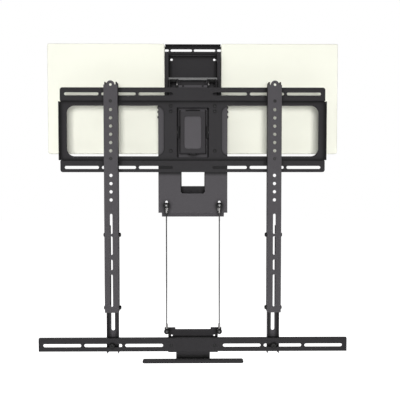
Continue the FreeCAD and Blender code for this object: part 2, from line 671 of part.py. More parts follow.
def head_column():
    """The upright channel that stays plumb, with the swivel's lugs on its front."""
    y_web = -HEAD_WEB_DEPTH + SHEET
    x = (LUG_IN, LUG_OUT)
    ears = [rod_x(EAR_R, x, *HEAD_PIVOT), rod_x(EAR_R, x, *HEAD_LINK_PIVOT)]
    ear_back = -HEAD_PIVOT[0] - EAR_R
    between = block(x, (ear_back, -HEAD_PIVOT[0] + EAR_R), (HEAD_LINK_PIVOT[1], HEAD_PIVOT[1]))
    front = block(x, (-HEAD_PIVOT[0], -y_web), (CHEEK_MID_Z, HEAD_TOP))
    low = block(x, (CHEEK_LOW_DEPTH, -y_web), (HEAD_BOTTOM, CHEEK_MID_Z))
    cheek = ears[0].fuse([ears[1], between, front, low])
    web = block((-LUG_OUT, LUG_OUT), (-y_web, HEAD_WEB_DEPTH), (HEAD_BOTTOM, HEAD_TOP))
    lug_front = SWIVEL_DEPTH + BARREL_R
    lugs = [block((-SWIVEL_LUG_HALF_W, SWIVEL_LUG_HALF_W), (HEAD_WEB_DEPTH, lug_front), z)
            for z in ((LUG_TOP_Z - SWIVEL_LUG, LUG_TOP_Z), (LUG_LOW_Z, LUG_LOW_Z + SWIVEL_LUG))]
    column = web.fuse(pair([cheek]) + lugs)
    cuts = pair([rod_x(PIVOT_PIN_R + RUNNING, (LUG_IN - PAST, LUG_OUT + PAST), *HEAD_PIVOT),
                 rod_x(LINK_PIN_R + RUNNING, (LUG_IN - PAST, LUG_OUT + PAST), *HEAD_LINK_PIVOT),
                 block((NOTCH_X, NOTCH_X + NOTCH_W), (-y_web - PAST, HEAD_WEB_DEPTH + PAST),
                       (HEAD_TOP - NOTCH_DEEP, HEAD_TOP + PAST))])
    cuts.append(rod_z(SWIVEL_PIN_R + RUNNING, (LUG_LOW_Z - PAST, LUG_TOP_Z + PAST), 0, -SWIVEL_DEPTH))
    return [column.cut(cuts)]


def head_pivot_bolts():
    """Pins that hinge the head column on the arms."""
    return pair([pivot_pin(ARM_IN + ARM_WALL + THRUST_GAP, LUG_IN, HEAD_PIVOT)])


def swivel_pin():
    """The upright pin of the swivel, with its head on top and a clip below."""
    place = (0, -SWIVEL_DEPTH)
    shank = rod_z(SWIVEL_PIN_R, (LUG_LOW_Z - SWIVEL_PIN_HEAD, LUG_TOP_Z), *place)
    head = rod_z(SWIVEL_PIN_HEAD_R, (LUG_TOP_Z, LUG_TOP_Z + SWIVEL_PIN_HEAD), *place)
    clip = rod_z(SWIVEL_PIN_HEAD_R, (LUG_LOW_Z - SWIVEL_PIN_HEAD, LUG_LOW_Z), *place)
    return [shank.fuse([head, clip])]


def swivel_washers():
    """Thrust washers above and below the swivel block."""
    washers = []
    for low in (LUG_TOP_Z - SWIVEL_LUG - WASHER, LUG_LOW_Z + SWIVEL_LUG):
        span = (low, low + WASHER)
        disc = rod_z(BARREL_R - WASHER_INSET, span, 0, -SWIVEL_DEPTH)
        bore = rod_z(SWIVEL_PIN_R + RUNNING, (low - PAST, low + WASHER + PAST), 0, -SWIVEL_DEPTH)
        washers.append(disc.cut(bore))
    return washers


def swivel_block():
    """The block that turns on the upright pin and carries the tilt pin in its wings."""
    z = (LUG_LOW_Z + SWIVEL_LUG + WASHER + THRUST_GAP, LUG_TOP_Z - SWIVEL_LUG - WASHER - THRUST_GAP)
    barrel = rod_z(BARREL_R, z, 0, -SWIVEL_DEPTH)
    body = block((-BLOCK_HALF_W, BLOCK_HALF_W), (WING_REAR, BLOCK_FRONT), z)
    wings = block((-WING_HALF_W, WING_HALF_W), (WING_REAR, WING_FRONT),
                  (TILT_Z - WING_HALF_H, TILT_Z + WING_HALF_H))
    upright = rod_z(SWIVEL_PIN_R + RUNNING, (z[0] - PAST, z[1] + PAST), 0, -SWIVEL_DEPTH)
    across = rod_x(TILT_PIN_R + RUNNING, (-WING_HALF_W - PAST, WING_HALF_W + PAST), -TILT_DEPTH, TILT_Z)
    return [barrel.fuse([body, wings]).cut([upright, across])]


def swivel_cover():
    """A moulded tray over the swivel block, seen through the frame's middle opening."""
    z = (SWIVEL_COVER_BOTTOM, SWIVEL_COVER_TOP)
    x = (-SWIVEL_COVER_HALF_W, SWIVEL_COVER_HALF_W)
    inner = SWIVEL_COVER_FRONT - SWIVEL_COVER_WALL
    tray = block(x, (inner - SWIVEL_COVER_SIDE, SWIVEL_COVER_FRONT), z)
    border = [e for e in tray.Edges if abs(e.CenterOfMass.y + SWIVEL_COVER_FRONT) < SEAT]
    tray = tray.makeChamfer(COVER_SLOPE, border)
    wall = SWIVEL_COVER_WALL + COVER_SLOPE / 2
    hollow = block((x[0] + wall, x[1] - wall), (BLOCK_FRONT - PAST, inner),
                   (z[0] + wall, z[1] - COVER_NOTCH_DEEP - wall))
    through = (BLOCK_FRONT - PAST, SWIVEL_COVER_FRONT + PAST)
    notch = block((COVER_NOTCH_IN, COVER_NOTCH_OUT), through, (z[1] - COVER_NOTCH_DEEP, z[1] + PAST))
    bosses = [rod_y(SWIVEL_BOSS_R, (BLOCK_FRONT, inner), 0, (TILT_Z + end) / 2)
              for end in (SWIVEL_COVER_TOP, SWIVEL_COVER_BOTTOM)]
    return [tray.cut([hollow] + pair([notch])).fuse(bosses)]


def cover_pad():
    """The raised pad on the front of the swivel's cover."""
    depth = (SWIVEL_COVER_FRONT, SWIVEL_COVER_FRONT + PAD_THICK)
    return [soft_block((-PAD_HALF_W, PAD_HALF_W), depth, (PAD_BOTTOM, PAD_TOP), PAD_CORNER)]


def tilt_pin():
    """The pin that the front frame tilts on, with a head at each end."""
    end = POCKET_HALF_W + TILT_EAR_THICK
    shank = rod_x(TILT_PIN_R, (-end, end), -TILT_DEPTH, TILT_Z)
    return [shank.fuse(pair([rod_x(TILT_HEAD_R, (end, end + TILT_HEAD), -TILT_DEPTH, TILT_Z)]))]


def tv_plate():
    """The plate behind the frame, with the tilt ears, the cable slots and the cable window."""
    depth = (TV_PLATE_BACK, PANEL_BACK)
    z = (TV_PLATE_BOTTOM, TV_PLATE_TOP)
    plate = block((-TV_PLATE_HALF_W, TV_PLATE_HALF_W), depth, z)
    side = block((TV_PLATE_HALF_W - SHEET, TV_PLATE_HALF_W),
                 (TV_PLATE_BACK - TV_PLATE_SIDE, TV_PLATE_BACK), z)
    ear = block((POCKET_HALF_W, POCKET_HALF_W + TILT_EAR_THICK), (TILT_EAR_DEPTH, TV_PLATE_BACK),
                (TILT_Z - WING_HALF_H, TILT_Z + WING_HALF_H))
    lip_points = [(-depth[1], z[0]), (-depth[0], z[0]), (-depth[0] + TV_LIP_BACK, z[0] - TV_LIP_DROP),
                  (-depth[1] + TV_LIP_BACK, z[0] - TV_LIP_DROP)]
    lip = side_plate(lip_points, (-TV_LIP_HALF_W, TV_LIP_HALF_W))
    through = (TV_PLATE_BACK - PAST, PANEL_BACK + PAST)
    window = soft_block((-TV_WIN_HALF_W, TV_WIN_HALF_W), through, (TV_WIN_BOTTOM, TV_WIN_TOP), TV_WIN_R)
    pocket = soft_block((-POCKET_HALF_W, POCKET_HALF_W), through, (POCKET_BOTTOM, POCKET_TOP), POCKET_CORNER)
    cable_slot = slot_along_z(CABLE_SLOT_BOTTOM, CABLE_SLOT_TOP, CABLE_SLOT_W, CABLE_X, through)
    cuts = [window, pocket] + pair([cable_slot])
    cuts += pair([rod_y(SMALL_PIN_R + RUNNING, through, FRAME_SCREW_X, sz) for sz in FRAME_SCREW_Z])
    cuts += pair([rod_x(SMALL_PIN_R + RUNNING, (TV_PLATE_HALF_W - SHEET - PAST, TV_PLATE_HALF_W + PAST),
                        -SIDE_SCREW_DEPTH, sz) for sz in SIDE_SCREW_Z])
    beyond = POCKET_HALF_W + TILT_EAR_THICK + PAST
    cuts.append(rod_x(TILT_PIN_R + RUNNING, (-beyond, beyond), -TILT_DEPTH, TILT_Z))
    return [plate.fuse(pair([side, ear]) + [lip]).cut(cuts)]


def frame_panel():
    """The wide pressed panel with its two windows, middle opening and end flanges."""
    depth = (PANEL_BACK, PANEL_DEPTH)
    panel = block((-FRAME_HALF_W, FRAME_HALF_W), depth, (LOW_RAIL_TOP, TOP_RAIL_BOTTOM))
    inset = (LOW_RAIL_TOP + PANEL_FLANGE_INSET, TOP_RAIL_BOTTOM - PANEL_FLANGE_INSET)
    end = block((FRAME_HALF_W, PANEL_HALF_W), depth, inset)
    flange = block((PANEL_HALF_W - SHEET, PANEL_HALF_W), (PANEL_DEPTH, PANEL_DEPTH + PANEL_FLANGE), inset)
    through = (PANEL_BACK - PAST, PANEL_DEPTH + PAST)
    window = soft_block((FRAME_WIN_IN, FRAME_WIN_OUT), through,
                        (FRAME_WIN_BOTTOM, FRAME_WIN_TOP), FRAME_WIN_R)
    pocket = soft_block((-POCKET_HALF_W, POCKET_HALF_W), through, (POCKET_BOTTOM, POCKET_TOP), POCKET_CORNER)
    screws = [rod_y(SMALL_PIN_R + RUNNING, through, FRAME_SCREW_X, z) for z in FRAME_SCREW_Z]
    return [panel.fuse(pair([end, flange])).cut([pocket] + pair([window] + screws))]


def frame_rail(low, high, slot_z, round_z):
    """One of the frame's two slotted rails: a channel open towards the wall."""
    x = (-FRAME_HALF_W, FRAME_HALF_W)
    rail = block(x, (RAIL_BACK, RAIL_FACE), (low, high))
    edges = [e for e in rail.Edges if abs(e.tangentAt(e.FirstParameter).y) > 0.99
             and abs(e.CenterOfMass.z - round_z) < 0.1]
    rail = rail.makeFillet(RAIL_CORNER, edges)
    hollow = block((x[0] + SHEET, x[1] - SHEET), (RAIL_BACK - PAST, RAIL_FACE - SHEET),
                   (low + SHEET, high - SHEET))
    through = (RAIL_FACE - SHEET - PAST, RAIL_FACE + PAST)
    slots = [slot_along_x(RAIL_SLOT_LEN, RAIL_SLOT_W, step * RAIL_SLOT_PITCH, slot_z, through)
             for step in range(1, RAIL_SLOT_COUNT + 1)]
    return [rail.cut([hollow] + pair(slots))]


def frame_screws():
    """Small screws that hold the panel to the plate behind it."""
    screws = []
    for z in FRAME_SCREW_Z:
        shank = rod_y(SMALL_PIN_R, (TV_PLATE_BACK, PANEL_DEPTH), FRAME_SCREW_X, z)
        head = rod_y(SMALL_HEAD_R, (PANEL_DEPTH, PANEL_DEPTH + SMALL_HEAD), FRAME_SCREW_X, z)
        screws.append(shank.fuse(head))
    return pair(screws)


def side_screws():
    """Small screws in the side flanges of the plate."""
    screws = []
    for z in SIDE_SCREW_Z:
        place = (-SIDE_SCREW_DEPTH, z)
        shank = rod_x(SMALL_PIN_R, (TV_PLATE_HALF_W - SHEET - SIDE_SCREW_TAIL, TV_PLATE_HALF_W), *place)
        head = rod_x(SMALL_HEAD_R, (TV_PLATE_HALF_W, TV_PLATE_HALF_W + SIDE_SCREW_HEAD), *place)
        screws.append(shank.fuse(head))
    return pair(screws)


def tv_rail():
    """The upright rail that a television is bolted to."""
    x = (RAIL_X - TV_RAIL_HALF_W, RAIL_X + TV_RAIL_HALF_W)
    z = (TV_RAIL_BOTTOM, TV_RAIL_TOP)
    front = (TV_RAIL_DEPTH - RAIL_SHEET, TV_RAIL_DEPTH)
    rail = soft_block(x, (RAIL_FACE, TV_RAIL_DEPTH), z, RAIL_SHEET)
    hollow = block((x[0] + RAIL_SHEET, x[1] - RAIL_SHEET), (RAIL_FACE - PAST, front[0]),
                   (z[0] - PAST, z[1] + PAST))
    rail = rail.cut(hollow).fuse(rod_y(TV_RAIL_EAR_R, front, RAIL_X, TV_RAIL_TOP))
    through = (front[0] - PAST, front[1] + PAST)
    cuts = [rod_y(TV_RAIL_EAR_HOLE_R, through, RAIL_X, TV_RAIL_TOP)]
    steps = round((TV_HOLE_HIGH - TV_HOLE_LOW) / TV_HOLE_STEP)
    heights = [TV_HOLE_LOW + step * TV_HOLE_STEP for step in range(4)]
    heights += [TV_HOLE_LOW + step * TV_HOLE_STEP for step in range(steps - 4, steps + 2)]
    cuts += [rod_y(TV_HOLE_R, through, RAIL_X, height) for height in heights + list(LOCK_HOLE_Z)]
    cuts += [slot_along_z(low, high, TV_RAIL_SLOT_W, RAIL_X, through) for high, low in TV_RAIL_SLOTS]
    cuts += [rod_x(BOLT_PIN_R + RUNNING, (x[0] - PAST, x[1] + PAST), -SIDE_BOLT_DEPTH, height)
             for height in SIDE_BOLT_Z]
    return rail.cut(cuts)


def hook_outline(rail_edge, up):
    """A hook's (y, z) outline over a rail's outer edge; up is +1 for the top rail, -1 for the lower."""
    front = -TV_RAIL_DEPTH + RAIL_SHEET
    rear = -RAIL_FACE - SIDE_GAP
    tip = -RAIL_BACK + HOOK_THICK
    body = rail_edge - up * HOOK_BODY
    drop = rail_edge - up * HOOK_DROP
    crown = rail_edge + up * HOOK_ARM
    return [(front, body), (rear, body), (rear, rail_edge), (-RAIL_BACK, rail_edge), (-RAIL_BACK, drop),
            (tip, drop), (tip, crown - up * HOOK_BEVEL), (tip - HOOK_BEVEL, crown), (front, crown)]


def rail_hooks():
    """Hook plates inside the television rails, over the top rail and under the lower one."""
    hooks = []
    inner = TV_RAIL_HALF_W - RAIL_SHEET
    for rail_edge, up in ((TOP_RAIL_TOP, 1), (LOW_RAIL_BOTTOM, -1)):
        outline = hook_outline(rail_edge, up)
        hooks.append(side_plate(outline, (RAIL_X + inner - HOOK_THICK, RAIL_X + inner)))
        hooks.append(side_plate(outline, (RAIL_X - inner, RAIL_X - inner + HOOK_THICK)))
    return pair(hooks)


def rail_lock_screws():
    """Screws that lock the television rails against the frame."""
    screws = []
    inside = TV_RAIL_DEPTH - RAIL_SHEET
    for z in LOCK_HOLE_Z:
        shank = rod_y(LOCK_PIN_R, (PANEL_DEPTH, inside), RAIL_X, z)
        screws.append(shank.fuse(rod_y(LOCK_HEAD_R, (inside, TV_RAIL_DEPTH - LOCK_RECESS), RAIL_X, z)))
    return pair(screws)


def extension():
    """The channel that lengthens a television rail downwards, with its upper end inside the rail."""
    inner, outer = EXT_INNER, EXT_OUTER
    z = (EXT_BOTTOM, EXT_TOP)
    shape = block((RAIL_X - outer, RAIL_X + outer), (EXT_BACK, EXT_FACE), z)
    hollow = block((RAIL_X - inner, RAIL_X + inner), (RAIL_FACE, EXT_FACE + PAST), (z[0] - PAST, z[1] + PAST))
    shape = shape.cut(hollow)
    through = (EXT_BACK - PAST, RAIL_FACE + PAST)
    notch_half = inner - EXT_FOOT
    notch = block((RAIL_X - notch_half, RAIL_X + notch_half), through, (z[0] - PAST, z[0] + EXT_NOTCH))
    cuts = [slot_along_z(EXT_SLOT_BOTTOM, EXT_TOP + EXT_SLOT_W, EXT_SLOT_W, RAIL_X, through), notch]
    across = (RAIL_X - outer - PAST, RAIL_X + outer + PAST)
    cuts += [rod_x(BOLT_PIN_R + RUNNING, across, -SIDE_BOLT_DEPTH, height)
             for height in SIDE_BOLT_Z]
    cuts.append(rod_y(BOLT_PIN_R + RUNNING, through, RAIL_X, BAR_SLOT_Z))
    return shape.cut(cuts)


def extension_bolts():
    """Bolts through the sides of the rails and the extensions, two to a side."""
    bolts = []
    seat = TV_RAIL_HALF_W
    for height in SIDE_BOLT_Z:
        for side in (-1, 1):
            near = sorted((RAIL_X + side * (EXT_INNER - BOLT_HEAD), RAIL_X + side * seat))
            head = sorted((RAIL_X + side * seat, RAIL_X + side * (seat + SIDE_HEAD)))
            nut = sorted((RAIL_X + side * (EXT_INNER - BOLT_HEAD), RAIL_X + side * EXT_INNER))
            place = (-SIDE_BOLT_DEPTH, height)
            bolts.append(rod_x(BOLT_PIN_R, near, *place).fuse([rod_x(BOLT_HEAD_R, head, *place),
                                                               rod_x(BOLT_HEAD_R - 0.5, nut, *place)]))
    return pair(bolts)


def crossbar():
    """The slotted bar across the front of the extensions: a shallow channel open towards the wall."""
    x = (-BAR_HALF_W, BAR_HALF_W)
    bar = block(x, (BAR_BACK, BAR_FRONT), (BAR_BOTTOM, BAR_TOP))
    hollow = block((x[0] - PAST, x[1] + PAST), (BAR_BACK - PAST, BAR_FRONT - SHEET),
                   (BAR_BOTTOM + SHEET, BAR_TOP - SHEET))
    through = (BAR_FRONT - SHEET - PAST, BAR_FRONT + PAST)
    centres = [BAR_SLOT_FIRST + step * BAR_SLOT_PITCH for step in range(BAR_SLOT_COUNT)]
    slots = [slot_along_x(BAR_SLOT_LEN, BAR_SLOT_W, centre, BAR_SLOT_Z, through) for centre in centres]
    bolt_hole = rod_y(BOLT_PIN_R + RUNNING, through, HANGER_BOLT_X, BAR_SLOT_Z)
    return [bar.cut([hollow] + pair(slots + [bolt_hole]))]


def crossbar_bolts():
    """Bolts, washers and sleeves that hold the crossbar to the extensions."""
    place = (RAIL_X, BAR_SLOT_Z)
    seat = BAR_FRONT + BAR_WASHER
    shank = rod_y(BOLT_PIN_R, (EXT_BACK - BOLT_HEAD, seat), *place)
    sleeve = rod_y(SPACER_R, (RAIL_FACE, BAR_FRONT - SHEET), *place)
    washer = rod_y(WASHER_R, (BAR_FRONT, seat), *place)
    head = rod_y(BAR_HEAD_R, (seat, seat + BOLT_HEAD), *place)
    nut = rod_y(BAR_NUT_R, (EXT_BACK - BOLT_HEAD, EXT_BACK), *place)
    return pair([shank.fuse([sleeve, washer, head, nut])])


def centre_hanger():
    """The plate behind the crossbar that the cables pull on, with a foot for the handle."""
    depth = (HANGER_BACK, HANGER_FRONT)
    plate = block((-HANGER_HALF_W, HANGER_HALF_W), depth, (HANGER_BOTTOM, HANGER_TOP))
    tab = block((TAB_IN, TAB_OUT), depth, (TAB_BOTTOM, TAB_TOP))
    neck = block((-NECK_HALF_W, NECK_HALF_W), depth, (HANDLE_TOP, HANGER_BOTTOM))
    foot = block((-NECK_HALF_W, NECK_HALF_W), (HANGER_BACK, FOOT_FRONT), (HANDLE_TOP, HANDLE_TOP + SHEET))
    through = (HANGER_BACK - PAST, HANGER_FRONT + PAST)
    cuts = [rod_y(HANGER_HOLE_R, through, HANGER_HOLE_X, HANGER_HOLE_Z),
            rod_y(CABLE_PIN_R + RUNNING, through, CABLE_X, CABLE_LOW_Z),
            rod_y(BOLT_PIN_R + RUNNING, through, HANGER_BOLT_X, BAR_SLOT_Z),
            rod_z(SMALL_PIN_R + RUNNING, (HANDLE_TOP - PAST, HANDLE_TOP + SHEET + PAST),
                  HANDLE_SCREW_X, -HANDLE_SCREW_DEPTH)]
    return [plate.fuse([neck, foot] + pair([tab])).cut(pair(cuts))]


def hanger_bolts():
    """Bolts with spacer sleeves between the crossbar and the hanger."""
    place = (HANGER_BOLT_X, BAR_SLOT_Z)
    shank = rod_y(BOLT_PIN_R, (HANGER_BACK - BOLT_HEAD, BAR_FRONT), *place)
    head = rod_y(SMALL_HEAD_R, (BAR_FRONT, BAR_FRONT + LOW_HEAD), *place)
    sleeve = rod_y(SPACER_R, (HANGER_FRONT, BAR_FRONT - SHEET), *place)
    nut = rod_y(BOLT_HEAD_R, (HANGER_BACK - BOLT_HEAD, HANGER_BACK), *place)
    return pair([shank.fuse([head, sleeve, nut])])


def pull_handle():
    """The round-ended handle at the bottom."""
    bottom = HANDLE_TOP - HANDLE_HIGH
    x = (-HANDLE_HALF_W, HANDLE_HALF_W)
    bar = soft_block(x, (HANDLE_BACK, HANDLE_FRONT), (bottom, HANDLE_TOP), HANDLE_HIGH / 2 - 0.05)
    bore = rod_z(SMALL_PIN_R + RUNNING, (HANDLE_TOP - HANDLE_SCREW_LEN, HANDLE_TOP + PAST),
                 HANDLE_SCREW_X, -HANDLE_SCREW_DEPTH)
    return [bar.cut(pair([bore]))]


def handle_screws():
    """Screws through the hanger's foot into the handle."""
    place = (HANDLE_SCREW_X, -HANDLE_SCREW_DEPTH)
    top = HANDLE_TOP + SHEET
    shank = rod_z(SMALL_PIN_R, (HANDLE_TOP - HANDLE_SCREW_LEN + HANDLE_SCREW_TIP, top), *place)
    return pair([shank.fuse(rod_z(SMALL_HEAD_R, (top, top + SMALL_HEAD), *place))])


def cable():
    """One straight steel cable between its two ferrules."""
    return rod_z(CABLE_R, (CABLE_LOW_Z + FERRULE_END, CABLE_TOP_Z - FERRULE_END), CABLE_X, -CABLE_DEPTH)


def cable_eyes():
    """The eyes and ferrules at the ends of the cables."""
    eyes = []
    depth = (CABLE_EYE_BACK, CABLE_EYE_FRONT)
    for z, down in ((CABLE_TOP_Z, -1), (CABLE_LOW_Z, 1)):
        ring = rod_y(CABLE_EYE_R, depth, CABLE_X, z)
        near = z + down * FERRULE_START
        far = z + down * FERRULE_END
        neck = block((CABLE_X - FERRULE_R, CABLE_X + FERRULE_R), depth, sorted((z, near)))
        ferrule = rod_z(FERRULE_R, sorted((near, far)), CABLE_X, -CABLE_DEPTH)
        bore = rod_y(CABLE_PIN_R + RUNNING, (depth[0] - PAST, depth[1] + PAST), CABLE_X, z)
        eyes.append(ring.fuse([neck, ferrule]).cut(bore))
    return pair(eyes)


def cable_bolts():
    """Bolts that hold the cables' eyes to the plate above and the hanger below."""
    bolts = []
    for z, face, back in ((CABLE_TOP_Z, PANEL_BACK, TV_PLATE_BACK), (CABLE_LOW_Z, HANGER_FRONT, HANGER_BACK)):
        place = (CABLE_X, z)
        shank = rod_y(CABLE_PIN_R, (back - BOLT_HEAD, CABLE_EYE_FRONT), *place)
        spacer = rod_y(SPACER_R, (face, CABLE_EYE_BACK), *place)
        head = rod_y(CABLE_HEAD_R, (CABLE_EYE_FRONT, CABLE_EYE_FRONT + CABLE_HEAD), *place)
        nut = rod_y(BOLT_HEAD_R, (back - BOLT_HEAD, back), *place)
        bolts.append(shank.fuse([spacer, head, nut]))
    return pair(bolts)


save("wall_plate", wall_plate())
save("centre_channel", centre_channel())
save("channel_rivets", channel_rivets())
save("right_cover", [wall_cover()])
save("left_cover", [mirrored(wall_cover())])
save("pivot_lug_plates", pivot_lug_plates())
save("strut_anchor_lugs", strut_anchor_lugs())
save("stop_bar", stop_bar())
save("lug_pivot_bolts", lug_pivot_bolts())
save("cheek_pivot_bolts", cheek_pivot_bolts())
save("link_pivot_bolts", pair([link_bolt(LINK_PIVOT)]))
save("right_lift_arm", [lift_arm()])
save("left_lift_arm", [mirrored(lift_arm())])
save("arm_brace", arm_brace())
save("arm_bushings", arm_bushings())
save("arm_buffers", arm_buffers())
save("right_strut_cylinder", [strut_cylinder()])
save("left_strut_cylinder", [mirrored(strut_cylinder())])
save("strut_top_pins", strut_top_pins())
save("right_strut_rod", [strut_rod()])
save("left_strut_rod", [mirrored(strut_rod())])
save("right_link_bar", [link_bar()])
save("left_link_bar", [mirrored(link_bar())])
save("head_column", head_column())
save("head_pivot_bolts", head_pivot_bolts())
save("head_link_bolts", pair([link_bolt(HEAD_LINK_PIVOT)]))
save("swivel_pin", swivel_pin())
save("swivel_washers", swivel_washers())
save("swivel_block", swivel_block())
save("swivel_cover", swivel_cover())
save("cover_pad", cover_pad())
save("tilt_pin", tilt_pin())
save("tv_plate", tv_plate())
save("frame_panel", frame_panel())
save("top_rail", frame_rail(TOP_RAIL_BOTTOM, TOP_RAIL_TOP, TOP_SLOT_Z, TOP_RAIL_TOP))
save("bottom_rail", frame_rail(LOW_RAIL_BOTTOM, LOW_RAIL_TOP, LOW_SLOT_Z, LOW_RAIL_BOTTOM))
save("frame_screws", frame_screws())
save("side_screws", side_screws())
save("right_tv_rail", [tv_rail()])
save("left_tv_rail", [mirrored(tv_rail())])
save("rail_hooks", rail_hooks())
save("rail_lock_screws", rail_lock_screws())
save("right_extension", [extension()])
save("left_extension", [mirrored(extension())])
save("extension_bolts", extension_bolts())
save("crossbar", crossbar())
save("crossbar_bolts", crossbar_bolts())
save("centre_hanger", centre_hanger())
save("hanger_bolts", hanger_bolts())
save("pull_handle", pull_handle())
save("handle_screws", handle_screws())
save("right_cable", [cable()])
save("left_cable", [mirrored(cable())])
save("cable_eyes", cable_eyes())
save("cable_bolts", cable_bolts())
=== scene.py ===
"""Finish and small parts of the pull-down television wall mount.

Metres, in the mount's own frame: X to the right, Y into the wall, Z up, with
the wall as the plane y = 0. Every sheet-metal piece comes from the frame; this
file gives each its finish and adds what is turned, twisted or moulded.
"""
import json
import math

import bpy
import numpy as np
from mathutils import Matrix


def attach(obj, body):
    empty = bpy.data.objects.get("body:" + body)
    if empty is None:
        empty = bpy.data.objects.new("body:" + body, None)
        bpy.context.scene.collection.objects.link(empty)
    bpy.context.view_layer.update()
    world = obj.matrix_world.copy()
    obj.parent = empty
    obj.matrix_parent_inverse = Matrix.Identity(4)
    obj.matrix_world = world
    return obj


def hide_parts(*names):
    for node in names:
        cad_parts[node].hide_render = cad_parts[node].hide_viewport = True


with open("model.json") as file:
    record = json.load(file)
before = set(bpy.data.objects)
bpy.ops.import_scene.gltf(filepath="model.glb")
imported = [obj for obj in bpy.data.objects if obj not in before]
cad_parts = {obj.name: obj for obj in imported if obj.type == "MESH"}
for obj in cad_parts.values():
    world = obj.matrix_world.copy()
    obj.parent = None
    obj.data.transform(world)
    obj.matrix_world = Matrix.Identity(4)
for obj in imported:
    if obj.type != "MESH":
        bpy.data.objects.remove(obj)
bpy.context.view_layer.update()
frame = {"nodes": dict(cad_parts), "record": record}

MM = 0.001

# The photograph's camera, solved from the mount's own rectangles
CAMERA_PLACE = (0.00402, -1.49908, -0.21375)
CAMERA_LENS = 50.0
CAMERA_SENSOR = 36.0
CAMERA_YAW = 0.0099
CAMERA_PITCH = 0.03856
CAMERA_ROLL = 0.0003

FLOOR_Z = -1.25
FLOOR_HALF = 12.0


# Node helpers

def node(tree, kind, *values, settings=None, **named):
    """One node. Values fill its inputs in order and named ones by name; a socket is linked, a value set."""
    made = tree.nodes.new(kind)
    for key, value in (settings or {}).items():
        setattr(made, key, value)
    chosen = list(zip(made.inputs, values))
    chosen += [(made.inputs[key.replace("_", " ")], value) for key, value in named.items()]
    for socket, value in chosen:
        if isinstance(value, bpy.types.NodeSocket):
            tree.links.new(value, socket)
        else:
            socket.default_value = value
    return made


def maths(tree, operation, *values, clamp=False):
    """The result of one sum on numbers or sockets."""
    settings = {"operation": operation, "use_clamp": clamp}
    return node(tree, "ShaderNodeMath", *values, settings=settings).outputs[0]


def blend(tree, factor, first, second):
    """The first colour where the factor is 0 and the second where it is 1."""
    made = node(tree, "ShaderNodeMix", settings={"data_type": "RGBA"})
    for index, value in ((0, factor), (6, first), (7, second)):
        if isinstance(value, bpy.types.NodeSocket):
            tree.links.new(value, made.inputs[index])
        else:
            made.inputs[index].default_value = value
    return made.outputs[2]


def spread(tree, value, low, high, to_low, to_high):
    """A number between low and high carried over to the range between to_low and to_high."""
    return node(tree, "ShaderNodeMapRange", value, low, high, to_low, to_high).outputs[0]


def share_out(tree, share, first, second):
    """Two numbers added by their shares, the first's given and the second's the rest."""
    return maths(tree, "ADD", maths(tree, "MULTIPLY", first, share),
                 maths(tree, "MULTIPLY", second, 1 - share))


def object_noise(tree, scale, detail=2.0, stretch=None):
    """Noise on the piece's own coordinates, drawn out along an axis by stretch."""
    place = node(tree, "ShaderNodeTexCoord").outputs["Object"]
    if stretch is not None:
        place = node(tree, "ShaderNodeMapping", place, Scale=stretch).outputs[0]
    return node(tree, "ShaderNodeTexNoise", place, Scale=scale, Detail=detail).outputs["Fac"]


def node_group(name, inputs, outputs):
    """An empty group with its sockets: inputs as (name, type, value), outputs as (name, type)."""
    tree = bpy.data.node_groups.new(name, "ShaderNodeTree")
    for label, kind, value in inputs:
        tree.interface.new_socket(label, in_out="INPUT", socket_type=kind).default_value = value
    for label, kind in outputs:
        tree.interface.new_socket(label, in_out="OUTPUT", socket_type=kind)
    given = tree.nodes.new("NodeGroupInput").outputs
    result = tree.nodes.new("NodeGroupOutput").inputs
    return tree, given, result


def use(tree, group, **named):
    """A group placed in a material with its own values."""
    return node(tree, "ShaderNodeGroup", settings={"node_tree": group}, **named).outputs


# Effects that several finishes share. Nearly all of a noise's values lie in its band.

NOISE_BAND = (0.35, 0.65)
WIDE_BAND = (0.3, 0.7)
SPECK_RATIO = 2.7
CLOUD_SHADES, SPECK_SHADES = (0.15, 0.85), (-0.22, 0.22)
CLOUD_SHARE, DIMPLE_SHARE, BLOTCH_SHARE = 0.6, 0.75, 0.5
CLOUD_DETAIL, BREAK_DETAIL = 4.0, 5.0
EDGE_TURN = (0.995, 0.86)
EDGE_BREAKS = (0.42, 0.6)
EDGE_SAMPLES, PAINTED_SHADE_SAMPLES = 6, 12
DUST_SLOPE = (0.35, 1.0)
DUST_PATCHES = (0.35, 1.0)
LINE_STRETCH = (0.06, 1.0, 1.0)
# Ambient occlusion values at which the painted shade in corners and gaps starts and is full
PAINTED_SHADE_OPENING = (0.96, 0.72)


def peel_group():
    """The dimpled skin of baked powder or moulded plastic, with clouds of shade in it."""
    tree, given, result = node_group(
        "dimpled_skin",
        [("Dimples", "NodeSocketFloat", 700.0), ("Clouds", "NodeSocketFloat", 9.0),
         ("Dark", "NodeSocketColor", (0.02, 0.02, 0.02, 1)),
         ("Light", "NodeSocketColor", (0.03, 0.03, 0.03, 1)),
         ("Smooth", "NodeSocketFloat", 0.4), ("Rough", "NodeSocketFloat", 0.6)],
        [("Colour", "NodeSocketColor"), ("Roughness", "NodeSocketFloat"), ("Height", "NodeSocketFloat")])
    dimples = object_noise(tree, given["Dimples"])
    specks = object_noise(tree, maths(tree, "MULTIPLY", given["Dimples"], SPECK_RATIO), 0.0)
    clouds = object_noise(tree, given["Clouds"], CLOUD_DETAIL)
    shade = spread(tree, clouds, *NOISE_BAND, *CLOUD_SHADES)
    shade = maths(tree, "ADD", shade, spread(tree, specks, *WIDE_BAND, *SPECK_SHADES), clamp=True)
    tree.links.new(blend(tree, shade, given["Dark"], given["Light"]), result["Colour"])
    rough = share_out(tree, CLOUD_SHARE, clouds, dimples)
    tree.links.new(spread(tree, rough, *NOISE_BAND, given["Smooth"], given["Rough"]), result["Roughness"])
    tree.links.new(share_out(tree, DIMPLE_SHARE, dimples, specks), result["Height"])
    return tree


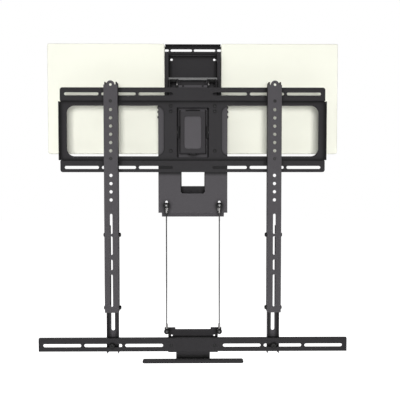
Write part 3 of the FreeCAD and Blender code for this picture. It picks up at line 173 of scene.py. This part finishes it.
def edge_group():
    """Softened edges, and a broken mask of where handling has rubbed them."""
    tree, given, result = node_group(
        "rubbed_edges",
        [("Radius", "NodeSocketFloat", 0.0006), ("Breaks", "NodeSocketFloat", 90.0),
         ("Amount", "NodeSocketFloat", 0.5)],
        [("Mask", "NodeSocketFloat"), ("Normal", "NodeSocketVector")])
    soft = node(tree, "ShaderNodeBevel", given["Radius"], settings={"samples": EDGE_SAMPLES}).outputs[0]
    flat = node(tree, "ShaderNodeNewGeometry").outputs["True Normal"]
    alike = node(tree, "ShaderNodeVectorMath", soft, flat, settings={"operation": "DOT_PRODUCT"})
    turned_away = spread(tree, alike.outputs["Value"], *EDGE_TURN, 0.0, 1.0)
    breaks = spread(tree, object_noise(tree, given["Breaks"], BREAK_DETAIL), *EDGE_BREAKS, 0.0, 1.0)
    mask = maths(tree, "MULTIPLY", maths(tree, "MULTIPLY", turned_away, breaks), given["Amount"], clamp=True)
    tree.links.new(mask, result["Mask"])
    tree.links.new(soft, result["Normal"])
    return tree


def dust_group():
    """Fine dust that lies on what faces upwards."""
    tree, given, result = node_group(
        "settled_dust",
        [("Patches", "NodeSocketFloat", 30.0), ("Amount", "NodeSocketFloat", 0.3)],
        [("Mask", "NodeSocketFloat")])
    facing = node(tree, "ShaderNodeNewGeometry").outputs["Normal"]
    upward = node(tree, "ShaderNodeSeparateXYZ", facing).outputs["Z"]
    level = spread(tree, upward, *DUST_SLOPE, 0.0, 1.0)
    patches = spread(tree, object_noise(tree, given["Patches"], CLOUD_DETAIL), *WIDE_BAND, *DUST_PATCHES)
    mask = maths(tree, "MULTIPLY", maths(tree, "MULTIPLY", level, patches), given["Amount"], clamp=True)
    tree.links.new(mask, result["Mask"])
    return tree


def brushed_group():
    """Fine lines left by drawing or turning, with duller blotches between."""
    tree, given, result = node_group(
        "drawn_lines",
        [("Lines", "NodeSocketFloat", 900.0), ("Blotches", "NodeSocketFloat", 60.0),
         ("Dark", "NodeSocketColor", (0.4, 0.4, 0.42, 1)), ("Light", "NodeSocketColor", (0.6, 0.6, 0.6, 1)),
         ("Smooth", "NodeSocketFloat", 0.2), ("Rough", "NodeSocketFloat", 0.4)],
        [("Colour", "NodeSocketColor"), ("Roughness", "NodeSocketFloat"), ("Height", "NodeSocketFloat")])
    lines = object_noise(tree, given["Lines"], stretch=LINE_STRETCH)
    blotches = object_noise(tree, given["Blotches"], CLOUD_DETAIL)
    shade = spread(tree, blotches, *NOISE_BAND, 0.0, 1.0)
    tree.links.new(blend(tree, shade, given["Dark"], given["Light"]), result["Colour"])
    rough = share_out(tree, BLOTCH_SHARE, blotches, lines)
    tree.links.new(spread(tree, rough, *NOISE_BAND, given["Smooth"], given["Rough"]), result["Roughness"])
    tree.links.new(lines, result["Height"])
    return tree


def painted_shade_group():
    """A mask of painted shade: the corners and gaps that light hardly reaches, found by ambient occlusion,
    where the colour is darkened as if shaded.
    """
    tree, given, result = node_group(
        "painted_corner_shade",
        [("Reach", "NodeSocketFloat", 0.012), ("Amount", "NodeSocketFloat", 0.85)],
        [("Mask", "NodeSocketFloat")])
    opening = node(tree, "ShaderNodeAmbientOcclusion", Distance=given["Reach"],
                   settings={"samples": PAINTED_SHADE_SAMPLES})
    # painted shade: the less open a spot, the more its colour is darkened
    painted_shade = spread(tree, opening.outputs["AO"], *PAINTED_SHADE_OPENING, 0.0, 1.0)
    tree.links.new(maths(tree, "MULTIPLY", painted_shade, given["Amount"], clamp=True), result["Mask"])
    return tree


PEEL = peel_group()
EDGES = edge_group()
DUST = dust_group()
BRUSHED = brushed_group()
PAINTED_SHADE_GROUP = painted_shade_group()


# Finishes

SKIN_BUMP, METAL_BUMP = 0.6, 0.5
METAL_EDGE, METAL_RUB = 0.3 * MM, 0.3
DUST_DULLS = 0.3
FINISHES = {}


def grey(value, warm=0.0, violet=0.0):
    """A linear grey as a colour, with a lean to warm or to violet."""
    return (value * (1 + warm + 0.7 * violet), value, value * (1 - warm + violet), 1.0)


def new_material(name):
    """An empty material with its one shader, kept in FINISHES under its slot's name."""
    material = bpy.data.materials.new(name)
    material.use_nodes = True
    tree = material.node_tree
    tree.nodes.clear()
    shader = tree.nodes.new("ShaderNodeBsdfPrincipled")
    tree.links.new(shader.outputs[0], tree.nodes.new("ShaderNodeOutputMaterial").inputs["Surface"])
    FINISHES[name] = material
    return tree, shader


def skin_finish(name, dark, light, worn, dimples=700.0, depth=0.05, smooth=0.52, rough=0.68, radius=0.6,
                rub=0.35, dust=0.2, gloss=0.12, dust_shade=grey(0.16), painted_shade=0.85, painted_shade_colour=grey(0.002)):
    """Paint or plastic: dimpled skin, rubbed edges, painted shade that darkens its corners and gaps, and a
    little dust. Depth and radius are in millimetres."""
    tree, shader = new_material(name)
    skin = use(tree, PEEL, Dimples=dimples, Dark=dark, Light=light, Smooth=smooth, Rough=rough)
    edge = use(tree, EDGES, Radius=radius * MM, Amount=rub)
    dusty = use(tree, DUST, Amount=dust)["Mask"]
    colour = blend(tree, edge["Mask"], skin["Colour"], worn)
    colour = blend(tree, dusty, colour, dust_shade)
    # painted shade: corners and gaps are darkened in the base colour towards the painted shade colour
    painted_shade_mask = use(tree, PAINTED_SHADE_GROUP, Amount=painted_shade)["Mask"]
    tree.links.new(blend(tree, painted_shade_mask, colour, painted_shade_colour), shader.inputs["Base Color"])
    dull = maths(tree, "ADD", skin["Roughness"], maths(tree, "MULTIPLY", dusty, DUST_DULLS), clamp=True)
    tree.links.new(dull, shader.inputs["Roughness"])
    bump = node(tree, "ShaderNodeBump", Strength=SKIN_BUMP, Distance=depth * MM, Height=skin["Height"],
                Normal=edge["Normal"])
    tree.links.new(bump.outputs[0], shader.inputs["Normal"])
    shader.inputs["Specular IOR Level"].default_value = gloss


def metal_finish(name, dark, light, smooth, rough, lines=900.0, depth=0.01, worn=grey(0.7)):
    """Bare or plated metal: drawn lines, blotches and bright edges. Depth is in millimetres."""
    tree, shader = new_material(name)
    drawn = use(tree, BRUSHED, Lines=lines, Dark=dark, Light=light, Smooth=smooth, Rough=rough)
    edge = use(tree, EDGES, Radius=METAL_EDGE, Amount=METAL_RUB)
    tree.links.new(blend(tree, edge["Mask"], drawn["Colour"], worn), shader.inputs["Base Color"])
    tree.links.new(drawn["Roughness"], shader.inputs["Roughness"])
    bump = node(tree, "ShaderNodeBump", Strength=METAL_BUMP, Distance=depth * MM, Height=drawn["Height"],
                Normal=edge["Normal"])
    tree.links.new(bump.outputs[0], shader.inputs["Normal"])
    shader.inputs["Metallic"].default_value = 1.0


VIOLET = 0.09


def tinted(value):
    """A dark grey with the coat's lean to violet."""
    return grey(value, violet=VIOLET)


def mix_finishes():
    """Every finish that the record's slots name."""
    # Every skin finish paints shade into its corners and gaps, near black unless given another colour
    skin_finish("black_powder_coat", tinted(0.019), tinted(0.026), grey(0.07), radius=1.0)
    skin_finish("frame_powder_coat", tinted(0.018), tinted(0.024), grey(0.08), radius=1.1)
    skin_finish("rail_powder_coat", tinted(0.055), tinted(0.067), grey(0.13), radius=1.0)
    # The covers get only a faint painted shade, towards a greyed cream
    skin_finish("cover_cream", (0.905, 0.910, 0.800, 1), (0.925, 0.93, 0.82, 1), (0.89, 0.895, 0.79, 1),
                dimples=520.0, depth=0.03, smooth=0.6, rough=0.7, rub=0.2, dust=0.08,
                dust_shade=(0.70, 0.70, 0.63, 1), radius=1.2, gloss=0.1, painted_shade=0.12,
                painted_shade_colour=(0.30, 0.30, 0.27, 1))
    metal_finish("zinc_steel", grey(0.16, 0.03), grey(0.26, 0.02), 0.45, 0.6)
    skin_finish("black_fasteners", grey(0.006), grey(0.010), grey(0.04), dimples=1800.0, depth=0.004,
                smooth=0.40, rough=0.55, radius=0.3, rub=0.3, dust=0.1, gloss=0.2)
    metal_finish("bright_rod", grey(0.15), grey(0.20), 0.62, 0.76, lines=1400.0, depth=0.004)
    skin_finish("strut_black", grey(0.008), grey(0.012), grey(0.07), dimples=1500.0, depth=0.01,
                smooth=0.2, rough=0.32, rub=0.25, gloss=0.5)
    skin_finish("rubber_black", grey(0.010), grey(0.015), grey(0.03), dimples=1100.0, depth=0.04,
                smooth=0.72, rough=0.88, rub=0.2, gloss=0.25)
    skin_finish("bush_plastic", (0.42, 0.40, 0.34, 1), (0.50, 0.48, 0.41, 1), grey(0.55),
                dimples=1400.0, depth=0.02, rub=0.15)
    skin_finish("moulded_black", tinted(0.024), tinted(0.030), grey(0.07), dimples=1300.0, depth=0.04,
                rub=0.3)
    skin_finish("moulded_grey", tinted(0.066), tinted(0.078), grey(0.20), dimples=1300.0, depth=0.04,
                rub=0.3)
    metal_finish("cable_steel", grey(0.05), grey(0.09), 0.34, 0.5, lines=2200.0, depth=0.006,
                 worn=grey(0.2))


def dress_nodes():
    """Give every node of the frame the finish that its record names."""
    for part in frame["record"]["subparts"]:
        mesh = frame["nodes"][part["node"]].data
        mesh.materials.clear()
        mesh.materials.append(FINISHES[part["material_slot"]])


# Shapes worked out on grids

SHARP_ANGLE = math.radians(32)


def grid_faces(rows, columns):
    """Quads of a grid of points that closes on itself across its columns."""
    row, column = np.meshgrid(np.arange(rows - 1), np.arange(columns), indexing="ij")
    here = row * columns + column
    beside = row * columns + (column + 1) % columns
    return np.stack([here, beside, beside + columns, here + columns], -1).reshape(-1, 4)


def capped(rings, start_pole, end_pole):
    """A closed skin through rings of points, from one pole to the other."""
    rows, columns = rings.shape[:2]
    points = np.vstack([rings.reshape(-1, 3), start_pole, end_pole])
    around = np.arange(columns)
    after = (around + 1) % columns
    first, last = rows * columns, rows * columns + 1
    base = (rows - 1) * columns
    faces = grid_faces(rows, columns).tolist()
    faces += list(zip(after.tolist(), around.tolist(), [first] * columns))
    faces += list(zip((base + around).tolist(), (base + after).tolist(), [last] * columns))
    return points, faces


def make_piece(name, skins, finish, body, replaces=()):
    """One piece out of several skins, on its body, with the finish's slot."""
    points, faces, count = [], [], 0
    for skin_points, skin_faces in skins:
        points.append(skin_points)
        faces += [tuple(index + count for index in face) for face in skin_faces]
        count += len(skin_points)
    mesh = bpy.data.meshes.new(name)
    mesh.from_pydata(np.vstack(points).tolist(), [], faces)
    mesh.polygons.foreach_set("use_smooth", np.ones(len(mesh.polygons), bool))
    mesh.set_sharp_from_angle(angle=SHARP_ANGLE)
    mesh.materials.append(FINISHES[finish])
    piece = bpy.data.objects.new(name, mesh)
    bpy.context.scene.collection.objects.link(piece)
    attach(piece, body)
    if replaces:
        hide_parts(*replaces)
    return piece


# The twisted steel cables

CABLE_X, CABLE_Y = 0.066, -0.11475
CABLE_ENDS = (-0.2997, -0.5786)
STRANDS = 6
STRAND_R = 0.53 * MM
LAY_R = 1.06 * MM
LAY_LENGTH = 16.0 * MM
STRAND_SIDES = 8
RINGS_PER_LAY = 14
LINE_STEPS = 150


def smooth_line(route):
    """Points along the NURBS spline that has the route's points as its control points."""
    curve = bpy.data.curves.new("cable_route", "CURVE")
    curve.dimensions = "3D"
    spline = curve.splines.new("NURBS")
    spline.points.add(len(route) - 1)
    spline.points.foreach_set("co", np.array([(*point, 1.0) for point in route]).ravel())
    spline.order_u = 3
    spline.use_endpoint_u = True
    spline.resolution_u = LINE_STEPS
    holder = bpy.data.objects.new("cable_route", curve)
    mesh = bpy.data.meshes.new_from_object(holder)
    line = np.empty(3 * len(mesh.vertices))
    mesh.vertices.foreach_get("co", line)
    bpy.data.objects.remove(holder)
    bpy.data.curves.remove(curve)
    bpy.data.meshes.remove(mesh)
    return line.reshape(-1, 3)


def strand(line, lay_r, phase):
    """A tube round a helix on an upright line: centre = line + lay_r * (cos a, sin a), with a = 2 pi * the
    length so far / LAY_LENGTH + phase, and the section a level circle of STRAND_R."""
    far = np.concatenate([[0], np.cumsum(np.linalg.norm(np.diff(line, axis=0), axis=1))])
    even = np.linspace(0, far[-1], int(far[-1] / LAY_LENGTH * RINGS_PER_LAY))
    centre = np.stack([np.interp(even, far, line[:, axis]) for axis in range(3)], -1)[:, None, :]
    turn = (2 * np.pi * even / LAY_LENGTH + phase)[:, None]
    section = np.linspace(0, 2 * np.pi, STRAND_SIDES, endpoint=False)[None, :]
    x = lay_r * np.cos(turn) + STRAND_R * np.cos(section)
    y = lay_r * np.sin(turn) - STRAND_R * np.sin(section)
    rings = centre + np.stack([x, y, 0 * x], -1)
    return capped(rings, rings[0].mean(0), rings[-1].mean(0))


def make_cable(side, x):
    """One cable of six strands laid round a seventh, in the place of its plain rod."""
    top, low = CABLE_ENDS
    route = [(x, CABLE_Y, z) for z in (top, (top + low) / 2, low)]
    line = smooth_line(route)
    skins = [strand(line, LAY_R, 2 * np.pi * index / STRANDS) for index in range(STRANDS)]
    skins.append(strand(line, 0, 0))
    piece = make_piece(f"{side}_cable_strands", skins, "cable_steel", "tv_frame", [f"{side}_cable"])


# Turned bolts, in millimetres, from rows of (along the axis, radius, 1 on a hexagon or 0 on a circle)

SIDES = 24
TURN = np.linspace(0, 2 * np.pi, SIDES, endpoint=False)
HEXAGON = 1 / np.cos(TURN % (np.pi / 3) - np.pi / 6)
WAYS = {"front": ((1, 0, 0), (0, 0, 1), (0, -1, 0)), "right": ((0, 1, 0), (0, 0, 1), (1, 0, 0)),
        "left": ((0, 0, 1), (0, 1, 0), (-1, 0, 0))}
CHAMFER = 0.3


def turned(rows, place, way):
    """A skin turned about an axis: point = place + along * axis + r * (cos a, sin a), where r is the row's
    radius on a circle and the radius / cos(a - the middle of its flat) on a hexagon."""
    first, second, axis = np.array(WAYS[way], float)
    along, radius, six = np.array(rows, float).T[:, :, None]
    radius = radius * (1 + six * (HEXAGON - 1))
    across = (radius * np.cos(TURN))[..., None] * first + (radius * np.sin(TURN))[..., None] * second
    rings = (np.array(place) + along[..., None] * axis + across) * MM
    return capped(rings, rings[0].mean(0), rings[-1].mean(0))


def shank(low, high, radius):
    """The rows of a plain round length."""
    return [(low, radius, 0), (high, radius, 0)]


def disc(low, high, radius):
    """The rows of a round collar with broken edges."""
    edge = radius - CHAMFER
    return [(low, edge, 0), (low + CHAMFER, radius, 0), (high - CHAMFER, radius, 0), (high, edge, 0)]


def nut(low, high, corner):
    """The rows of a hexagon nut, with its corners at the given radius."""
    flat = corner * math.cos(math.pi / 6)
    return [(low, flat, 0), (low + CHAMFER, flat, 1), (high - CHAMFER, flat, 1), (high, flat, 0)]


DOME = ((0.0, 0.97), (0.1, 1.0), (0.4, 0.985), (0.62, 0.93), (0.82, 0.82), (0.95, 0.68), (1.0, 0.55))
SOCKET_LIP = 1.15
SOCKET_FLOOR = 0.35


def dome(seat, height, radius, socket):
    """The rows of a domed head with a hexagon socket in its middle."""
    top = seat + height
    floor = seat + SOCKET_FLOOR * height
    rows = [(seat + share * height, size * radius, 0) for share, size in DOME]
    return rows + [(top, socket * SOCKET_LIP, 0), (top - CHAMFER / 2, socket, 1), (floor, socket, 1),
                   (floor, socket / 2, 0)]


def make_bolts(name, node_name, rows, places, finish="black_fasteners"):
    """Turned bolts in the place of a node's plain ones, at places of (x, y, z, way)."""
    skins = [turned(rows, place[:3], place[3]) for place in places]
    return make_piece(name, skins, finish, "tv_frame", [node_name] if node_name else ())


def front_pair(x, z):
    """The two places of a bolt that points to the room, right and left."""
    return [(x, 0, z, "front"), (-x, 0, z, "front")]


PLATE_BACK, PLATE_FRONT, PANEL_FRONT = 107.5, 110.0, 112.5
HANGER_BACK, HANGER_FRONT = 103.9, 106.4
BAR_INSIDE, BAR_FACE = 135.0, 137.5
EXTENSION_BACK, RAIL_BACK = 116.4, 118.0
EYE_BACK, EYE_FRONT = 113.5, 116.0
BAR_BOLT = (200.0, -626.8)
HANGER_BOLT = (53.6, -626.8)
CABLE_BOLT_X, CABLE_TOP, CABLE_LOW = 66.0, -280.5, -597.8
FRAME_SCREW_X, FRAME_SCREW_Z = 54.6, (-33.8, -47.0, -145.0)
SIDE_SCREW_DEPTH, SIDE_SCREW_Z = 101.0, (-36.0, -47.0, -60.0)
SIDE_BOLT_DEPTH, SIDE_BOLT_Z = 123.0, (-353.0, -535.0)

BOLT_R, SCREW_R, SLEEVE_R = 3.0, 2.0, 6.0
NUT_HEIGHT = 3.6
BAR_NUT_R, NUT_R, SIDE_NUT_R = 8.0, 5.5, 5.0
BAR_WASHER, BAR_WASHER_R = 1.2, 7.0
STUD_START, STUD_END, STUD_R = 1.5, 3.7, 2.7
SIDE_SCREW_START, SIDE_SCREW_SEAT = 81.7, 86.2
SIDE_NUT_START, SIDE_NUT_END, SIDE_BOLT_SEAT = 9.8, 13.4, 17.0

# Domed heads: height, radius, and the socket's reach to its flats
BAR_HEAD = (3.6, 6.5, 2.3)
HANGER_HEAD = (1.0, 3.5, 1.3)
CABLE_HEAD = (4.0, 7.0, 3.2)
FRAME_HEAD = (2.0, 3.5, 1.2)
SIDE_SCREW_HEAD = (2.4, 3.5, 1.2)
SIDE_BOLT_HEAD = (4.5, 5.5, 2.2)


def make_all_bolts():
    """Every bolt and screw of the front frame that shows."""
    rows = (nut(EXTENSION_BACK - NUT_HEIGHT, EXTENSION_BACK, BAR_NUT_R)
            + shank(EXTENSION_BACK, RAIL_BACK, BOLT_R) + disc(RAIL_BACK, BAR_INSIDE, SLEEVE_R)
            + shank(BAR_INSIDE, BAR_FACE, BOLT_R) + disc(BAR_FACE, BAR_FACE + BAR_WASHER, BAR_WASHER_R)
            + dome(BAR_FACE + BAR_WASHER, *BAR_HEAD))
    make_bolts("crossbar_button_bolts", "crossbar_bolts", rows, front_pair(*BAR_BOLT))

    rows = (nut(HANGER_BACK - NUT_HEIGHT, HANGER_BACK, NUT_R) + shank(HANGER_BACK, HANGER_FRONT, BOLT_R)
            + disc(HANGER_FRONT, BAR_INSIDE, SLEEVE_R) + shank(BAR_INSIDE, BAR_FACE, BOLT_R)
            + dome(BAR_FACE, *HANGER_HEAD))
    make_bolts("hanger_low_bolts", "hanger_bolts", rows, front_pair(*HANGER_BOLT))

    skins = []
    for z, back, face in ((CABLE_TOP, PLATE_BACK, PLATE_FRONT), (CABLE_LOW, HANGER_BACK, HANGER_FRONT)):
        rows = (nut(back - NUT_HEIGHT, back, NUT_R) + shank(back, face, BOLT_R)
                + disc(face, EYE_BACK, SLEEVE_R) + shank(EYE_BACK, EYE_FRONT, BOLT_R)
                + dome(EYE_FRONT, *CABLE_HEAD))
        skins += [turned(rows, place[:3], "front") for place in front_pair(CABLE_BOLT_X, z)]
    make_piece("cable_ring_bolts", skins, "black_fasteners", "tv_frame", ["cable_bolts"])

    rows = disc(EYE_FRONT + STUD_START, EYE_FRONT + STUD_END, STUD_R)
    places = front_pair(CABLE_BOLT_X, CABLE_TOP) + front_pair(CABLE_BOLT_X, CABLE_LOW)
    make_bolts("cable_stud_ends", None, rows, places, "cable_steel")

    rows = shank(PLATE_BACK, PANEL_FRONT, SCREW_R) + dome(PANEL_FRONT, *FRAME_HEAD)
    places = [place for z in FRAME_SCREW_Z for place in front_pair(FRAME_SCREW_X, z)]
    make_bolts("frame_button_screws", "frame_screws", rows, places)

    rows = shank(SIDE_SCREW_START, SIDE_SCREW_SEAT, SCREW_R) + dome(SIDE_SCREW_SEAT, *SIDE_SCREW_HEAD)
    places = [(0, -SIDE_SCREW_DEPTH, z, way) for z in SIDE_SCREW_Z for way in ("right", "left")]
    make_bolts("side_button_screws", "side_screws", rows, places)

    rows = (nut(SIDE_NUT_START, SIDE_NUT_END, SIDE_NUT_R) + shank(SIDE_NUT_END, SIDE_BOLT_SEAT, BOLT_R)
            + dome(SIDE_BOLT_SEAT, *SIDE_BOLT_HEAD))
    places = [(x, -SIDE_BOLT_DEPTH, z, way) for x in (BAR_BOLT[0], -BAR_BOLT[0]) for z in SIDE_BOLT_Z
              for way in ("right", "left")]
    make_bolts("extension_button_bolts", "extension_bolts", rows, places)


# The pad on the swivel's cover

PAD_HALF_W, PAD_TOP, PAD_BOTTOM = 21.5, -58.7, -139.7
PAD_BASE, PAD_THICK, PAD_CROWN = 109.0, 1.3, 0.5
PAD_POWER, PAD_EDGE_POWER = 9.0, 10.0
PAD_RINGS, PAD_SIDES = 26, 120


def make_pad():
    """A crowned pad: its outline is the superellipse |x / a|^n + |z / b|^n = 1, and at the share t of the way
    out its height is PAD_THICK * sqrt(1 - t^m) + PAD_CROWN * (1 - t^2)."""
    half_h = (PAD_TOP - PAD_BOTTOM) / 2
    angle = np.linspace(0, 2 * np.pi, PAD_SIDES, endpoint=False)
    c, s = np.cos(angle), np.sin(angle)
    reach = (np.abs(c / PAD_HALF_W) ** PAD_POWER + np.abs(s / half_h) ** PAD_POWER) ** (-1 / PAD_POWER)
    share = np.sin(np.linspace(np.pi / 2, np.pi / 2 / PAD_RINGS, PAD_RINGS))[:, None]
    height = PAD_THICK * np.sqrt(1 - share ** PAD_EDGE_POWER) + PAD_CROWN * (1 - share ** 2)
    x = share * reach * c
    z = (PAD_TOP + PAD_BOTTOM) / 2 + share * reach * s
    front = np.stack([x, -(PAD_BASE + height) + 0 * x, z], -1)
    base = front[:1] * (1, 0, 1) + (0, -PAD_BASE, 0)
    rings = np.concatenate([base, front]) * MM
    skin = capped(rings, rings[0].mean(0), rings[-1].mean(0))
    make_piece("crowned_cover_pad", [skin], "moulded_grey", "swivel", ["cover_pad"])


# Studio

FLOOR_SHADE = (0.82, 0.82, 0.82, 1)
FLOOR_GLOW = 0.96
SURROUND_LEVEL = 0.10


def make_floor():
    """A pale floor, which the camera and reflections see as nearly white."""
    half = FLOOR_HALF
    corners = [(-half, -half, FLOOR_Z), (half, -half, FLOOR_Z), (half, half, FLOOR_Z), (-half, half, FLOOR_Z)]
    mesh = bpy.data.meshes.new("studio_floor")
    mesh.from_pydata(corners, [], [(0, 1, 2, 3)])
    floor = bpy.data.objects.new("studio_floor", mesh)
    bpy.context.scene.collection.objects.link(floor)
    material = bpy.data.materials.new("studio_floor")
    material.use_nodes = True
    tree = material.node_tree
    tree.nodes.clear()
    rays = node(tree, "ShaderNodeLightPath").outputs
    seen = maths(tree, "MAXIMUM", rays["Is Camera Ray"], rays["Is Glossy Ray"])
    matt = node(tree, "ShaderNodeBsdfDiffuse", FLOOR_SHADE).outputs[0]
    glow = node(tree, "ShaderNodeEmission", (1, 1, 1, 1), maths(tree, "MULTIPLY", seen, FLOOR_GLOW))
    both = node(tree, "ShaderNodeAddShader", matt, glow.outputs[0]).outputs[0]
    node(tree, "ShaderNodeOutputMaterial", both)
    mesh.materials.append(material)


def make_surround():
    """A white surround for the camera, which lights the object only faintly."""
    world = bpy.data.worlds.new("studio_surround")
    world.use_nodes = True
    tree = world.node_tree
    tree.nodes.clear()
    rays = node(tree, "ShaderNodeLightPath").outputs
    shown = maths(tree, "MAXIMUM", rays["Is Camera Ray"], rays["Is Transmission Ray"])
    strength = spread(tree, shown, 0.0, 1.0, SURROUND_LEVEL, 1.0)
    surround = node(tree, "ShaderNodeBackground", (1, 1, 1, 1), strength).outputs[0]
    node(tree, "ShaderNodeOutputWorld", surround)
    bpy.context.scene.world = world


# Lamps: name, place in metres, side in metres, watts
LAMP_TARGET = (0.0, -0.1, -0.25)
LAMPS = (
    ("key_lamp", (-1.3, -3.0, 1.1), 2.2, 20.0),
    ("front_lamp", (0.03, -3.4, -0.2), 0.7, 84.0),
    ("back_lamp", (-1.2, 2.4, 1.2), 2.0, 45.0),
)


def hang_lamps():
    """Soft square lamps, each turned to the middle of the mount."""
    for name, place, size, power in LAMPS:
        lamp = bpy.data.lights.new(name, "AREA")
        lamp.size = size
        lamp.energy = power
        holder = bpy.data.objects.new(name, lamp)
        holder.location = place
        aim = np.array(LAMP_TARGET) - np.array(place)
        spin = math.atan2(aim[1], aim[0]) - math.pi / 2
        tilt = math.pi / 2 + math.atan2(aim[2], math.hypot(aim[0], aim[1]))
        holder.rotation_euler = (tilt, 0.0, spin)
        bpy.context.scene.collection.objects.link(holder)


def place_camera():
    """The camera of the photograph."""
    data = bpy.data.cameras.new("view")
    data.lens = CAMERA_LENS
    data.sensor_width = CAMERA_SENSOR
    data.sensor_fit = "HORIZONTAL"
    camera = bpy.data.objects.new("view", data)
    camera.location = CAMERA_PLACE
    camera.rotation_euler = (math.pi / 2 - CAMERA_PITCH, CAMERA_ROLL, -CAMERA_YAW)
    bpy.context.scene.collection.objects.link(camera)
    bpy.context.scene.camera = camera


bpy.context.scene.view_settings.view_transform = "Standard"
place_camera()
make_floor()
make_surround()
hang_lamps()
mix_finishes()
dress_nodes()
make_cable("right", CABLE_X)
make_cable("left", -CABLE_X)
make_all_bolts()
make_pad()
